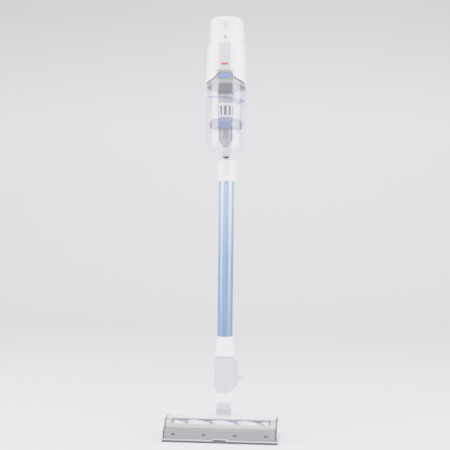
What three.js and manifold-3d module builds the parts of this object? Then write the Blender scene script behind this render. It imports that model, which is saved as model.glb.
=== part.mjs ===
// A cordless stick vacuum, standing upright on its powered floor head.
// Millimetres, +Z up, the front of the machine faces -Y. The origin lies on the floor, under the wand's axis.
import * as THREE from "three";
import { mergeVertices } from "three/addons/utils/BufferGeometryUtils.js";
import Module from "manifold-3d";

const wasm = await Module();
wasm.setup();

// ---------- driving dimensions ----------
const GAP = 0.35; // between pieces that touch
const TOP = 1003; // overall height

const HEAD_FRONT = -124; // front of the floor head, from the wand's axis
const HEAD_HALF = 129; // half width of the floor head's housing
const SOLE_HALF = 137; // half width of the sole plate, which stands proud of the housing
const HEAD_BACK = -22; // rear wall of the head
const BRUSH = { y: -76, z: 24, core: 14.5, lobe: 20.8, tip: 22, half: 113, pitch: 118 };
const CHAMBER = { inner: 23.4, outer: 25.6 };
const MOTOR_SHAFT = { y: -37.5, z: 27 };
const PIVOT = { y: 6, z: 30 };
const WHEEL = { y: 26, z: 16, r: 16, inner: 37, outer: 50 };

const NECK_R = 24;
const NECK_BOTTOM = 78;
const NECK_TOP = 187;
const WAND_R = 18.75;
const WAND_BOTTOM = 236;
const COLLAR_BOTTOM = 614;
const COLLAR_TOP = 668;
const WAND_END = 652;

const BIN = { y: -34, r: 48.5, wall: 2.2, bottom: 682, top: 838 };
const LUG = { y: -17, z: 678, r: 5 };
const DUCT = { y: 34.5, r: 17.5, top: 820 };
const HOUSING_BOTTOM = 842;
const LOOP = { front: 31.6, back: 124, bottom: 826, top: 990, half: 16 };

// ---------- materials ----------
const plastic = (color, roughness = 0.35) => new THREE.MeshStandardMaterial(
  { color, roughness, metalness: 0 },
);
const metal = (color, roughness = 0.35) => new THREE.MeshStandardMaterial(
  { color, roughness, metalness: 1 },
);
const glassy = (color) =>
  new THREE.MeshStandardMaterial({ color, roughness: 0.05, transparent: true, opacity: 0.35 });
const look = {
  white: plastic(0xf1f1f3),
  cream: plastic(0xf3efe9, 0.5),
  paleGrey: plastic(0xdcdce4, 0.45),
  silver: plastic(0xc9cdcb, 0.4),
  grey: plastic(0xa9aaac, 0.5),
  darkGrey: plastic(0x55565e, 0.55),
  black: plastic(0x1d1d20, 0.7),
  blue: plastic(0x7f9ad8),
  wandBlue: metal(0x9fc0e6, 0.32),
  clear: glassy(0xffffff),
  steel: metal(0xb9bcc2, 0.25),
  foam: plastic(0xe6e4df, 0.95),
  led: plastic(0xf6d9d2, 0.2),
};

// ---------- solids ----------
function solid(geometry) {
  const bare = new THREE.BufferGeometry().setAttribute("position", geometry.getAttribute("position"));
  if (geometry.index) bare.setIndex(geometry.index);
  const merged = mergeVertices(bare, 1e-4);
  const corners = merged.index.array;
  const kept = [];
  for (let i = 0; i < corners.length; i += 3) {
    const [a, b, c] = [corners[i], corners[i + 1], corners[i + 2]];
    if (a !== b && b !== c && a !== c) kept.push(a, b, c);
  }
  const vertProperties = merged.attributes.position.array;
  const build = (list) =>
    new wasm.Manifold(new wasm.Mesh({ numProp: 3, vertProperties, triVerts: new Uint32Array(list) }));
  const made = build(kept);
  return made.volume() < 0 ? build(kept.reverse()) : made;
}

function piece(name, shape, material) {
  const { vertProperties, triVerts } = shape.simplify(0.04).getMesh();
  const geometry = new THREE.BufferGeometry();
  geometry.setAttribute("position", new THREE.BufferAttribute(new Float32Array(vertProperties), 3));
  geometry.setIndex(new THREE.BufferAttribute(new Uint32Array(triVerts), 1));
  geometry.computeVertexNormals();
  const mesh = new THREE.Mesh(geometry, material);
  mesh.name = name;
  return mesh;
}

const block = (x0, x1, y0, y1, z0, z1) =>
  solid(
    new THREE.BoxGeometry(x1 - x0, y1 - y0, z1 - z0).translate((x0 + x1) / 2, (y0 + y1) / 2, (z0 + z1) / 2),
  );
const rodX = (r, x0, x1, y, z, sides = 24) =>
  solid(
    new THREE.CylinderGeometry(r, r, x1 - x0, sides).rotateZ(Math.PI / 2).translate((x0 + x1) / 2, y, z),
  );
const rodY = (r, y0, y1, x, z, sides = 16) =>
  solid(new THREE.CylinderGeometry(r, r, y1 - y0, sides).translate(x, (y0 + y1) / 2, z));
const rodZ = (r, z0, z1, x, y, sides = 24) =>
  solid(
    new THREE.CylinderGeometry(r, r, z1 - z0, sides).rotateX(Math.PI / 2).translate(x, y, (z0 + z1) / 2),
  );

// A profile of [radius, z] pairs turned about a vertical axis.
const turned = (profile, x, y, sides = 28) =>
  solid(
    new THREE.LatheGeometry(profile.map(([r, z]) => new THREE.Vector2(r, z)), sides)
      .rotateX(Math.PI / 2)
      .translate(x, y, 0),
  );

// Outlines are lists of points or a THREE.Shape. Each prism runs along one axis of the part.
const outline = (points) =>
  points instanceof THREE.Shape ? points : new THREE.Shape(points.map(([u, v]) => new THREE.Vector2(u, v)));
const prism = (points, depth, bevel = 0, curveSegments = 3) =>
  new THREE.ExtrudeGeometry(outline(points), {
    depth: depth - 2 * bevel,
    bevelEnabled: bevel > 0,
    bevelThickness: bevel,
    bevelSize: bevel,
    bevelOffset: -bevel,
    bevelSegments: 2,
    curveSegments,
  }).translate(0, 0, bevel);
const axes = (x, y, z) => new THREE.Matrix4().makeBasis(x, y, z);
const [EX, EY, EZ] = [new THREE.Vector3(1, 0, 0), new THREE.Vector3(0, 1, 0), new THREE.Vector3(0, 0, 1)];
const prismX = (points, x0, x1, bevel = 0) =>
  solid(prism(points, x1 - x0, bevel).applyMatrix4(axes(EY, EZ, EX)).translate(x0, 0, 0));
const prismY = (points, y0, y1, bevel = 0) =>
  solid(prism(points, y1 - y0, bevel).applyMatrix4(axes(EX, EZ, EY.clone().negate())).translate(0, y1, 0));
const prismZ = (points, z0, z1, bevel = 0) => solid(prism(points, z1 - z0, bevel).translate(0, 0, z0));

function roundedRectangle(u0, u1, v0, v1, r) {
  const s = new THREE.Shape();
  s.moveTo(u0 + r, v0).lineTo(u1 - r, v0).absarc(u1 - r, v0 + r, r, -Math.PI / 2, 0);
  s.lineTo(u1, v1 - r).absarc(u1 - r, v1 - r, r, 0, Math.PI / 2);
  s.lineTo(u0 + r, v1).absarc(u0 + r, v1 - r, r, Math.PI / 2, Math.PI);
  s.lineTo(u0, v0 + r).absarc(u0 + r, v0 + r, r, Math.PI, Math.PI * 1.5);
  return s;
}

// A closed skin through level rings of points, capped at both ends.
function loft(rings) {
  const n = rings[0].length;
  const position = rings.flat().flatMap((p) => [p.x, p.y, p.z]);
  const index = [];
  for (let k = 0; k + 1 < rings.length; k++)
    for (let i = 0; i < n; i++) {
      const [a, b] = [k * n + i, k * n + ((i + 1) % n)];
      index.push(a, b, b + n, a, b + n, a + n);
    }
  const last = (rings.length - 1) * n;
  for (let i = 1; i + 1 < n; i++) index.push(0, i + 1, i, last, last + i, last + i + 1);
  const geometry = new THREE.BufferGeometry();
  geometry.setAttribute("position", new THREE.BufferAttribute(new Float32Array(position), 3));
  geometry.setIndex(index);
  return solid(geometry);
}

// A box of length segments whose vertices are moved by a rule, for helical pieces.
function warped(segments, rule) {
  const g = new THREE.BoxGeometry(1, 1, 1, segments, 1, 1).translate(0.5, 0.5, 0.5);
  const p = g.getAttribute("position");
  for (let i = 0; i < p.count; i++) p.setXYZ(i, ...rule(p.getX(i), p.getY(i), p.getZ(i)));
  return solid(g);
}

// ---------- floor head ----------
const chamberPoint = (r, degrees) => {
  const a = (degrees * Math.PI) / 180;
  return [BRUSH.y + r * Math.cos(a), BRUSH.z + r * Math.sin(a)];
};
const chamberArc = (r, from, to, steps) =>
  Array.from({ length: steps + 1 }, (_, i) => chamberPoint(r, from + ((to - from) * i) / steps));

function floorHead() {
  const head = new THREE.Group();
  const wall = 2.4;
  const windowBack = 86; // angles round the brush's axis, from +Y over the top
  const windowFront = 142;
  const bandFront = 196;

  const soleBottom = 2.2;
  const soleTop = 6;
  const lipBottom = 5.4; // the sole's front lip is raised over the felt strip
  const lipTop = 9;
  const lipBack = HEAD_FRONT + 16;
  const plate = prismZ(
    roundedRectangle(-SOLE_HALF, SOLE_HALF, HEAD_FRONT, HEAD_BACK + 16, 5),
    soleBottom,
    lipTop,
  )
    .subtract(block(-SOLE_HALF - 1, SOLE_HALF + 1, lipBack, 0, soleTop, lipTop + 1))
    .subtract(block(-SOLE_HALF - 1, SOLE_HALF + 1, HEAD_FRONT - 1, lipBack - 4, 0, lipBottom));
  const mouth = block(-BRUSH.half - 4, BRUSH.half + 4, BRUSH.y - 22, BRUSH.y + 22, 0, 8);
  const arms = [-1, 1].map((side) =>
    block(side < 0 ? -36 : 25, side < 0 ? -25 : 36, HEAD_BACK - 4, 38, 5, 8)
      .add(block(side < 0 ? -36 : 25, side < 0 ? -25 : 36, HEAD_BACK + 1, 38, 7, 40)),
  );
  const endWall = (side) =>
    block(side < 0 ? -127 : 122, side < 0 ? -122 : 127, BRUSH.y - 20, HEAD_BACK - 3, 5, 30);
  const rearWall = block(-122.5, 122.5, BRUSH.y + 24.5, BRUSH.y + 27, 5, 30);
  const holes = [
    rodX(8.4, -40, 40, PIVOT.y, PIVOT.z),
    rodX(3.3, -40, 40, WHEEL.y, WHEEL.z, 16),
    rodX(CHAMBER.inner, BRUSH.half + 3, 138, BRUSH.y, BRUSH.z),
    rodX(6.4, -130, -121, BRUSH.y, BRUSH.z, 20),
    block(-17, 17, BRUSH.y + 24, BRUSH.y + 28, 12, 34),
    block(-120, -113, BRUSH.y + 24, BRUSH.y + 28, 12, 40),
    block(-24.6, 24.6, HEAD_BACK - 6, 0, 0, 60),
  ];
  const base = [
    arms[0],
    arms[1],
    endWall(-1),
    endWall(1),
    rearWall,
  ].reduce((a, b) => a.add(b), plate.subtract(mouth));
  head.add(piece("sole_plate", holes.reduce((a, b) => a.subtract(b), base), look.paleGrey));

  // The upper housing: from the window's back edge over the motor bay, and down the rear wall.
  const roof = [
    ...chamberArc(CHAMBER.outer + 0.6, windowBack, 80, 1),
    [-40, 49.6],
    [-29, 48.6],
    [HEAD_BACK, 43],
    [HEAD_BACK, 8.5],
  ];
  const lining = [
    [HEAD_BACK - wall, 8.5],
    [HEAD_BACK - wall, 41],
    [-30, 46],
    [-40, 47],
    ...chamberArc(CHAMBER.inner + 0.5, 80, windowBack, 1),
  ];
  const rearCut = block(-24.6, 24.6, HEAD_BACK - 3, HEAD_BACK + 1, 0, 36);
  const cover = prismX([...roof, ...lining], -HEAD_HALF, HEAD_HALF).subtract(rearCut);
  head.add(piece("head_cover", cover, look.white));

  const band = [
    ...chamberArc(CHAMBER.outer, windowFront, 182, 4),
    ...chamberArc(CHAMBER.inner, 182, windowFront, 4),
  ];
  const frontLip = prismX(band, -HEAD_HALF, HEAD_HALF);
  const rim = [...chamberArc(CHAMBER.outer, windowBack + 0.8, windowFront + 0.1, 6)];
  const rimInner = [...chamberArc(CHAMBER.inner, windowFront + 0.1, windowBack + 0.8, 6)];
  const sideRims = [-1, 1].map((side) =>
    prismX([...rim, ...rimInner], side < 0 ? -HEAD_HALF : 117, side < 0 ? -117 : HEAD_HALF),
  );
  head.add(piece("window_frame", frontLip.add(sideRims[0]).add(sideRims[1]), look.silver));
  const pane = [
    ...chamberArc(CHAMBER.outer - 0.3, windowBack + 0.8, windowFront - 0.8, 6),
    ...chamberArc(CHAMBER.inner + 0.2, windowFront - 0.8, windowBack + 0.8, 6),
  ];
  head.add(piece("brush_window", prismX(pane, -117 + GAP, 117 - GAP), look.clear));

  // The bumper closes the front, with four lamps behind round holes.
  const bumperOutline = [
    [HEAD_FRONT + 1, lipTop + GAP],
    [HEAD_FRONT + 1.5, 27],
    [HEAD_FRONT + 4, 30.4],
    [-104.6, 31.6],
    [-102.2, 20],
    [-102.2, 12],
    [-106, lipTop + GAP],
  ];
  const lampX = [-108, -36, 36, 108];
  const lampZ = 19.5;
  let bumper = prismX(bumperOutline, -HEAD_HALF, HEAD_HALF);
  for (const x of lampX) bumper = bumper.subtract(rodY(3.1, HEAD_FRONT - 1, -100, x, lampZ, 20));
  bumper = bumper.subtract(block(-112, 112, -104.8, -100, lampZ - 2.4, lampZ + 2.4));
  const notch = block(-17, 17, HEAD_FRONT - 1, HEAD_FRONT + 5, 0, 12);
  head.add(piece("front_bumper", bumper.subtract(notch), look.grey));
  const lampBar = block(-111, 111, -104.3, -102.6, lampZ - 2, lampZ + 2);
  const lamps = lampX.reduce(
    (bar, x) => bar.add(rodY(2.75, HEAD_FRONT + 1.6, -102.6, x, lampZ, 16)),
    lampBar,
  );
  head.add(piece("head_lamps", lamps, look.led));
  const felt = block(-SOLE_HALF + 2, SOLE_HALF - 2, HEAD_FRONT + 0.6, lipBack - 4 - GAP, 0, lipBottom - GAP);
  head.add(piece("front_felt_strip", felt, look.black));

  const sidePlate = (side) => {
    const shape = [
      [HEAD_FRONT + 1, lipTop + GAP],
      [HEAD_FRONT + 1.5, 27.5],
      [-106, 34],
      ...chamberArc(CHAMBER.outer, 158, 90, 6),
      [-40, 49.4],
      [-29, 48.2],
      [HEAD_BACK, 42.5],
      [HEAD_BACK, soleTop + GAP],
      [lipBack + GAP, soleTop + GAP],
      [lipBack + GAP, lipTop + GAP],
    ];
    const [x0, x1] = side < 0 ? [-133, -HEAD_HALF - GAP] : [HEAD_HALF + GAP, 133];
    return prismX(shape, x0, x1);
  };
  head.add(piece("side_plate_left", sidePlate(-1), look.darkGrey));
  const hatch = rodX(CHAMBER.inner - 0.2, 120, 140, BRUSH.y, BRUSH.z);
  head.add(piece("side_plate_right", sidePlate(1).subtract(hatch), look.darkGrey));

  // Brush drive: motor, belt and pulleys at the left end.
  head.add(piece("brush_motor", rodX(10.8, -106, -44, MOTOR_SHAFT.y, MOTOR_SHAFT.z).add(
    rodX(2.2, -107, -105, MOTOR_SHAFT.y, MOTOR_SHAFT.z, 12)), look.steel));
  head.add(piece("motor_pulley", rodX(5, -119, -108, MOTOR_SHAFT.y, MOTOR_SHAFT.z, 20), look.darkGrey));
  head.add(piece("brush_pulley", rodX(9, -120.5, -114.2, BRUSH.y, BRUSH.z, 24).add(
    rodX(5.8, -126, -120, BRUSH.y, BRUSH.z, 16)), look.darkGrey));

  // The belt is the band between two outlines that run round both pulleys.
  const loopOf = (r1, r2) => {
    const [dy, dz] = [MOTOR_SHAFT.y - BRUSH.y, MOTOR_SHAFT.z - BRUSH.z];
    const lean = Math.atan2(dz, dy);
    const open = Math.acos((r1 - r2) / Math.hypot(dy, dz));
    const arc = (cy, cz, r, from, to, n) =>
      Array.from({ length: n + 1 }, (_, i) => {
        const a = from + ((to - from) * i) / n;
        return [cy + r * Math.cos(a), cz + r * Math.sin(a)];
      });
    return [
      ...arc(BRUSH.y, BRUSH.z, r1, lean + open, lean + 2 * Math.PI - open, 12),
      ...arc(MOTOR_SHAFT.y, MOTOR_SHAFT.z, r2, lean - open, lean + open, 8),
    ];
  };
  const belt = prismX(loopOf(10.8, 6.8), -118.6, -114.6).subtract(
    prismX(loopOf(9 + GAP, 5 + GAP), -119, -114),
  );
  head.add(piece("drive_belt", belt, look.black));
  return head;
}

function brushCartridge() {
  const brush = new THREE.Group();
  const journal = rodX(5, 112, 118, BRUSH.y, BRUSH.z, 16);
  // The roller is two padded lobes that wind round the core, with a groove for each bristle strip.
  const phase = 0.05;
  const turns = (2 * BRUSH.half) / BRUSH.pitch;
  const lobe = [-18, -12, 12, 18, 41, 64, 87, 110, 133].map(
    (degrees, i) => [degrees, i === 1 || i === 2 ? BRUSH.core : BRUSH.lobe],
  );
  const section = [0, 180].flatMap((start) =>
    lobe.map(([degrees, r]) => {
      const a = phase - Math.PI * turns + ((start + degrees) * Math.PI) / 180;
      return [r * Math.cos(a), r * Math.sin(a)];
    }),
  );
  const alongX = [0, 1, 0, 0, 0, 0, 1, 0, 1, 0, 0, 0, -BRUSH.half, BRUSH.y, BRUSH.z, 1];
  const roller = new wasm.CrossSection([section]).extrude(2 * BRUSH.half, 30, 360 * turns).transform(alongX);
  brush.add(piece("brush_core", roller.add(journal), look.white));
  const strip = (name, start, width, material) => {
    const inner = BRUSH.core + GAP;
    const bristles = warped(32, (u, v, w) => {
      const x = (2 * u - 1) * (BRUSH.half - 3);
      const a = start + (2 * Math.PI * x) / BRUSH.pitch;
      const r = inner + w * (BRUSH.tip - inner);
      const across = (v - 0.5) * width;
      return [
        x,
        BRUSH.y + r * Math.cos(a) - across * Math.sin(a),
        BRUSH.z + r * Math.sin(a) + across * Math.cos(a),
      ];
    });
    brush.add(piece(name, bristles, material));
  };
  strip("bristle_strip_blue", phase, 5, look.blue);
  strip("bristle_strip_grey", phase + Math.PI, 3, look.darkGrey);
  const cap = rodX(
    CHAMBER.inner - 0.8,
    122.5,
    134,
    BRUSH.y,
    BRUSH.z,
  ).add(rodX(8, 119, 123, BRUSH.y, BRUSH.z, 20));
  const bearing = rodX(5.4, 117.9, 120.4, BRUSH.y, BRUSH.z, 20);
  const finger = block(133, 136.5, BRUSH.y - 14, BRUSH.y + 14, BRUSH.z - 3, BRUSH.z + 3);
  brush.add(piece("brush_end_cap", cap.subtract(bearing).add(finger), look.white));
  return brush;
}

function wheels() {
  const group = new THREE.Group();
  for (const [name, side] of [["left", -1], ["right", 1]]) {
    const along = (a, b) => (side < 0 ? [-b, -a] : [a, b]);
    const [x0, x1] = along(WHEEL.inner, WHEEL.outer);
    const [a0, a1] = along(25.4, WHEEL.inner + 4);
    const axle = rodX(3, a0, a1, WHEEL.y, WHEEL.z, 16);
    const wheel = rodX(WHEEL.r, x0, x1, WHEEL.y, WHEEL.z, 32).add(axle);
    const [dish0, dish1] = along(WHEEL.outer - 2.5, WHEEL.outer + 1);
    const dish = rodX(11, dish0, dish1, WHEEL.y, WHEEL.z, 24).subtract(
      rodX(6, dish0, dish1, WHEEL.y, WHEEL.z, 20),
    );
    group.add(piece("rear_wheel_" + name, wheel.subtract(dish), look.darkGrey));
  }
  return group;
}

// ---------- pivoting neck ----------
function neck() {
  const group = new THREE.Group();
  const half = 23.5;
  const drum = rodX(21, -half, half, PIVOT.y, PIVOT.z, 28);
  const stalk = block(-half, half, PIVOT.y - 20, PIVOT.y + 16, PIVOT.z, 68)
    .add(rodZ(20.8, 60, NECK_BOTTOM - 4, 0, 0))
    .add(rodZ(17.5, NECK_BOTTOM - 5, NECK_BOTTOM + 12, 0, 0));
  const passage = rodZ(13.5, 20, NECK_BOTTOM + 14, 0, 0, 24).add(block(-13, 13, -30, 0, 20, 40));
  const pinHoles = rodX(6.3, -30, 30, PIVOT.y, PIVOT.z, 24);
  group.add(piece("pivot_yoke", drum.add(stalk).subtract(pinHoles).subtract(passage), look.white));
  for (const [name, side] of [["left", -1], ["right", 1]]) {
    const [inner, step, outer] = [15, 24.2, 37].map((x) => x * side);
    const shank = rodX(6, Math.min(inner, step), Math.max(inner, step), PIVOT.y, PIVOT.z, 24);
    const head = rodX(8, Math.min(step, outer), Math.max(step, outer), PIVOT.y, PIVOT.z, 24);
    group.add(piece("pivot_pin_" + name, shank.add(head), look.darkGrey));
  }

  // The part above the swivel takes the wand.
  const shell = turned(
    [
      [17.9, NECK_BOTTOM], [24.9, NECK_BOTTOM], [25.4, NECK_BOTTOM + 3], [25.4, 101],
      [NECK_R, 101], [NECK_R, NECK_TOP - 1.5], [NECK_R - 1, NECK_TOP], [17.2, NECK_TOP],
      [17.2, 97], [17.9, 97], [17.9, NECK_BOTTOM],
    ],
    0, 0, 32,
  );
  const buttonHole = block(-8, 8, 10, 40, 152, 172);
  group.add(piece("neck_socket", shell.subtract(buttonHole), look.white));

  const skin = turned(
    [[NECK_R + GAP, 96], [25.9, 96], [25.9, NECK_TOP - 1], [NECK_R + GAP, NECK_TOP - 1], [NECK_R + GAP, 96]],
    0,
    0,
    32,
  );
  const face = new THREE.Shape();
  face.moveTo(-26.5, 107).quadraticCurveTo(0, 97.6, 26.5, 107).lineTo(26.5, NECK_TOP).lineTo(-26.5, NECK_TOP);
  const front = prismY(face, -30, -7);
  const below = rodZ(30, 90, 101.4, 0, 0);
  group.add(piece("neck_front_cover", skin.intersect(front).subtract(below), look.paleGrey));

  group.add(
    piece("head_release_button", prismY(roundedRectangle(-7.5, 7.5, 152.5, 171.5, 3), 18.2, 27), look.grey),
  );
  const plate = prismY([[26.3, 116], [30.5, 112], [32, 116], [32, 176], [30.5, 180], [26.3, 176]], -9, 9);
  const peg = prismY([[31, 126], [46, 141], [45, 142.2], [31, 140]], -4, 4);
  group.add(piece("tool_holder", plate.add(peg), look.paleGrey));
  return group;
}

// ---------- wand ----------
function wand() {
  const group = new THREE.Group();
  const r = WAND_R;
  const tube = rodZ(r, WAND_BOTTOM, WAND_END, 0, 0, 32).subtract(
    rodZ(r - 1.6, WAND_BOTTOM - 1, WAND_END + 1, 0, 0, 32),
  );
  const groove = rodZ(1.6, 270, 606, 0, -r - 0.9, 12);
  const slot = block(-5, 5, -r - 2, -r + 5, 640, 648);
  group.add(piece("wand_tube", tube.subtract(groove).subtract(slot), look.wandBlue));
  const collar = turned(
    [
      [14.5, 150], [16.8, 150], [16.8, NECK_TOP + 1.6], [25.6, NECK_TOP + 1.6], [25.6, NECK_TOP + 4],
      [20.2, 219], [19.8, WAND_BOTTOM - GAP], [16.6, WAND_BOTTOM - GAP], [16.6, WAND_BOTTOM + 12],
      [14.5, WAND_BOTTOM + 12], [14.5, 150],
    ],
    0, 0, 32,
  );
  group.add(piece("wand_lower_collar", collar, look.white));
  const gasket = turned(
    [
      [17.2, NECK_TOP + GAP],
      [24, NECK_TOP + GAP],
      [24, NECK_TOP + 1.25],
      [17.2, NECK_TOP + 1.25],
      [17.2, NECK_TOP + GAP],
    ],
    0,
    0,
  );
  group.add(piece("collar_gasket", gasket, look.darkGrey));
  return group;
}

// ---------- handheld unit ----------
// One level ring of the motor housing, grown outwards by some amount.
const LEVELS = [
  [HOUSING_BOTTOM, 45.5, -81, 31],
  [880, 45.5, -80, 31],
  [910, 44, -79, 31],
  [945, 42, -77, 31],
  [988, 40, -74, 31],
];
const CROWN = 13; // radius of the rounded top
function housingSkin(grow, bottom, top = TOP - CROWN) {
  const sides = 28;
  const at = (z) => {
    const k = Math.max(1, LEVELS.findIndex(([level]) => level >= z));
    const hi = LEVELS[k];
    const lo = LEVELS[k - 1];
    const t = (z - lo[0]) / (hi[0] - lo[0]);
    return [1, 2, 3].map((i) => lo[i] + (hi[i] - lo[i]) * t);
  };
  const ring = (z, level, inset) => {
    const [half, front, rear] = at(Math.min(level, LEVELS.at(-1)[0]));
    const [a, b, middle] = [half + grow - inset, (rear - front) / 2 + grow - inset, (rear + front) / 2];
    return Array.from({ length: sides }, (_, i) => {
      const t = (2 * Math.PI * i) / sides;
      const bend = (v) => Math.sign(v) * Math.abs(v) ** 0.66;
      return new THREE.Vector3(a * bend(Math.cos(t)), middle + b * bend(Math.sin(t)), z);
    });
  };
  const straight = [bottom, ...LEVELS.map(([z]) => z).filter((z) => z > bottom && z < top), top];
  const rings = straight.map((z) => ring(z, z, 0));
  if (top === TOP - CROWN)
    for (const degrees of [30, 60, 90]) {
      const a = (degrees * Math.PI) / 180;
      const r = CROWN + grow;
      rings.push(ring(top + r * Math.sin(a), top, r * (1 - Math.cos(a))));
    }
  return loft(rings);
}

const TONGUE = [
  [-47, 837], [-45, 843], [-41, 847], [-31, 851], [-21, 858], [-14, 870],
  [14, 870], [21, 858], [31, 851], [41, 847], [45, 843], [47, 837],
];

function motorUnit() {
  const group = new THREE.Group();
  const outer = housingSkin(0, HOUSING_BOTTOM);
  const cavity = housingSkin(-2.6, HOUSING_BOTTOM - 1);
  const tongueRoom = prismY(TONGUE.map(([x, z]) => [x * 1.03, z + 1.6]), -100, -40).intersect(
    rodZ(BIN.r + 0.8, 832, 876, 0, BIN.y, 48));
  const reach = prismY(TONGUE.map(([x, z]) => [x * 1.03, z + 1.6]), -100, -60);
  const tongueCut = tongueRoom.add(reach);
  const buttonWell = block(-8.4, 8.4, -90, -60, 963.5, 991);
  const vents = [0, 1, 2].flatMap((i) =>
    [-1, 1].map(
      (side) => block(side < 0 ? -60 : 30, side < 0 ? -30 : 60, -20, 16, 908 + i * 10, 913 + i * 10),
    ));
  const flatBack = block(-60, 60, LOOP.front - 0.9, 60, 840, TOP + 5);
  let housing = outer.subtract(cavity).subtract(tongueCut).subtract(buttonWell).subtract(flatBack);
  for (const vent of vents) housing = housing.subtract(vent);
  const backWall = block(-30, 30, LOOP.front - 3.4, LOOP.front - 0.9, HOUSING_BOTTOM, TOP - 15);
  group.add(piece("motor_housing", housing.add(backWall.intersect(outer)), look.white));

  const frontHalf = block(-80, 80, -120, -27, 830, 1020);
  const cowlRoom = block(-19.5, 19.5, -120, -40, 832, 873.5);
  const cowl = housingSkin(3.2, 845, 939).subtract(housingSkin(GAP, 842, 943)).intersect(frontHalf);
  group.add(piece("front_cowl", cowl.subtract(tongueCut).subtract(cowlRoom), look.white));

  const onFront = (grow, thick, shape, z0, z1) =>
    housingSkin(grow + thick, z0 - 2, z1 + 2).subtract(
      housingSkin(grow, z0 - 4, z1 + 4),
    ).intersect(prismY(shape, -120, -50));
  const strip = onFront(GAP, 1.1, roundedRectangle(-10.5, 10.5, 941, 991.5, 5), 941, 991.5);
  const holes = rodY(6.9, -120, -50, 0, 984, 28).add(
    prismY(roundedRectangle(-6.4, 6.4, 965.6, 977.2, 2), -120, -50),
  )
    .add(prismY(roundedRectangle(-1.9, 1.9, 947.6, 956.4, 1.5), -120, -50));
  group.add(piece("display_strip", strip.subtract(holes), look.cream));
  group.add(piece("power_button", rodY(6.5, -76.9, -67, 0, 984, 24), look.cream));
  group.add(piece("mode_button", prismY(roundedRectangle(-6, 6, 966, 976.8, 2), -77.7, -68), look.cream));
  const lampBack = housingSkin(GAP, 930, 975);
  group.add(
    piece(
      "charge_lamp",
      prismY(roundedRectangle(-1.6, 1.6, 948, 956, 1.3), -78.6, -70).subtract(lampBack),
      look.grey,
    ),
  );
  group.add(
    piece(
      "intake_panel",
      onFront(3.2 + GAP, 1, roundedRectangle(-13.5, 13.5, 875, 937.5, 2), 875, 937.5),
      look.paleGrey,
    ),
  );

  // Inside: filter, its grey carrier, the fan and its motor, and the circuit board.
  const carrier = turned(
    [[36, 844], [41.5, 844], [41.5, 866], [22, 880], [19, 880], [36, 864], [36, 844]],
    0,
    BIN.y,
    36,
  );
  const backRoom = block(-50, 50, 8, 40, 830, 900);
  group.add(
    piece(
      "filter_carrier",
      carrier.subtract(backRoom.intersect(rodZ(60, 830, 900, 0, BIN.y))).intersect(housingSkin(-3.1, 843)),
      look.silver,
    ),
  );
  group.add(piece("premotor_filter", rodZ(35.4, 844, 861, 0, BIN.y, 24), look.foam));
  const blades = Array.from({ length: 7 }, (_, i) =>
    solid(
      new THREE.BoxGeometry(12, 1.4, 7)
        .translate(13, 0, 892)
        .rotateZ((i * 2 * Math.PI) / 7)
        .translate(0, BIN.y + 4, 0),
    ));
  const disc = rodZ(20, 894, 897, 0, BIN.y + 4, 28).add(rodZ(6, 888, 897, 0, BIN.y + 4, 16));
  group.add(piece("fan", blades.reduce((a, b) => a.add(b), disc), look.darkGrey));
  const can = rodZ(22, 899, 946, 0, BIN.y + 4, 28).subtract(rodZ(2.5, 898, 903, 0, BIN.y + 4, 12));
  group.add(piece("suction_motor", can, look.steel));
  group.add(piece("circuit_board", block(-24, 24, -61, -59, 950, 986), look.darkGrey));
  return group;
}

function handle() {
  const group = new THREE.Group();
  const loop = new THREE.Shape();
  const { front, back, bottom, top } = LOOP;
  loop.moveTo(front, bottom).lineTo(back - 12, bottom).quadraticCurveTo(
    back - 3,
    bottom,
    back - 4,
    bottom + 12,
  );
  loop.quadraticCurveTo(back - 5, 900, back, 950);
  loop.quadraticCurveTo(back, top, back - 36, top).lineTo(front, top);
  const gap = new THREE.Path();
  gap.moveTo(front + 14, bottom + 34).lineTo(front + 14, top - 32).quadraticCurveTo(
    front + 14,
    top - 22,
    front + 24,
    top - 22,
  );
  gap.lineTo(back - 42, top - 22).quadraticCurveTo(back - 29, top - 24, back - 30, 950);
  gap.quadraticCurveTo(back - 36, 900, back - 34, bottom + 34).quadraticCurveTo(
    back - 36,
    bottom + 24,
    back - 44,
    bottom + 24,
  );
  gap.lineTo(front + 24, bottom + 24).quadraticCurveTo(front + 14, bottom + 24, front + 14, bottom + 34);
  loop.holes.push(gap);
  const frame = prismX(loop, -LOOP.half, LOOP.half, 4);
  const pocket = block(-8.5, 8.5, back - 45, back - 13, 917, 966);
  group.add(piece("handle_loop", frame.subtract(pocket), look.white));

  const leverOutline = [[88, 945], [87, 924], [95, 920], [106, 924], [106, 963], [99.5, 963]];
  const lever = prismX(leverOutline, -7.8, 7.8);
  group.add(piece("trigger", lever, look.blue));

  const pack = prismZ(roundedRectangle(-27, 27, 54, 108, 9), 742, LOOP.bottom - 0.6);
  const inside = prismZ(roundedRectangle(-24.5, 24.5, 56.5, 105.5, 7), 745, LOOP.bottom);
  const latchRecess = block(-9.5, 9.5, 106.5, 109, 799.5, 814.5);
  group.add(piece("battery_case", pack.subtract(inside).subtract(latchRecess), look.paleGrey));
  let cells = null;
  for (const x of [-11, 11])
    for (const y of [70, 92]) {
      const cell = rodZ(9.2, 746, 815, x, y, 20);
      cells = cells ? cells.add(cell) : cell;
    }
  cells = cells.add(block(-13, 13, 70, 92, 812, 816)).add(block(-13, 13, 70, 92, 746, 750));
  group.add(piece("battery_cells", cells, look.blue));
  group.add(piece("battery_latch", prismY(roundedRectangle(-9, 9, 800, 814, 3), 108, 111.8), look.grey));
  return group;
}

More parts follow.
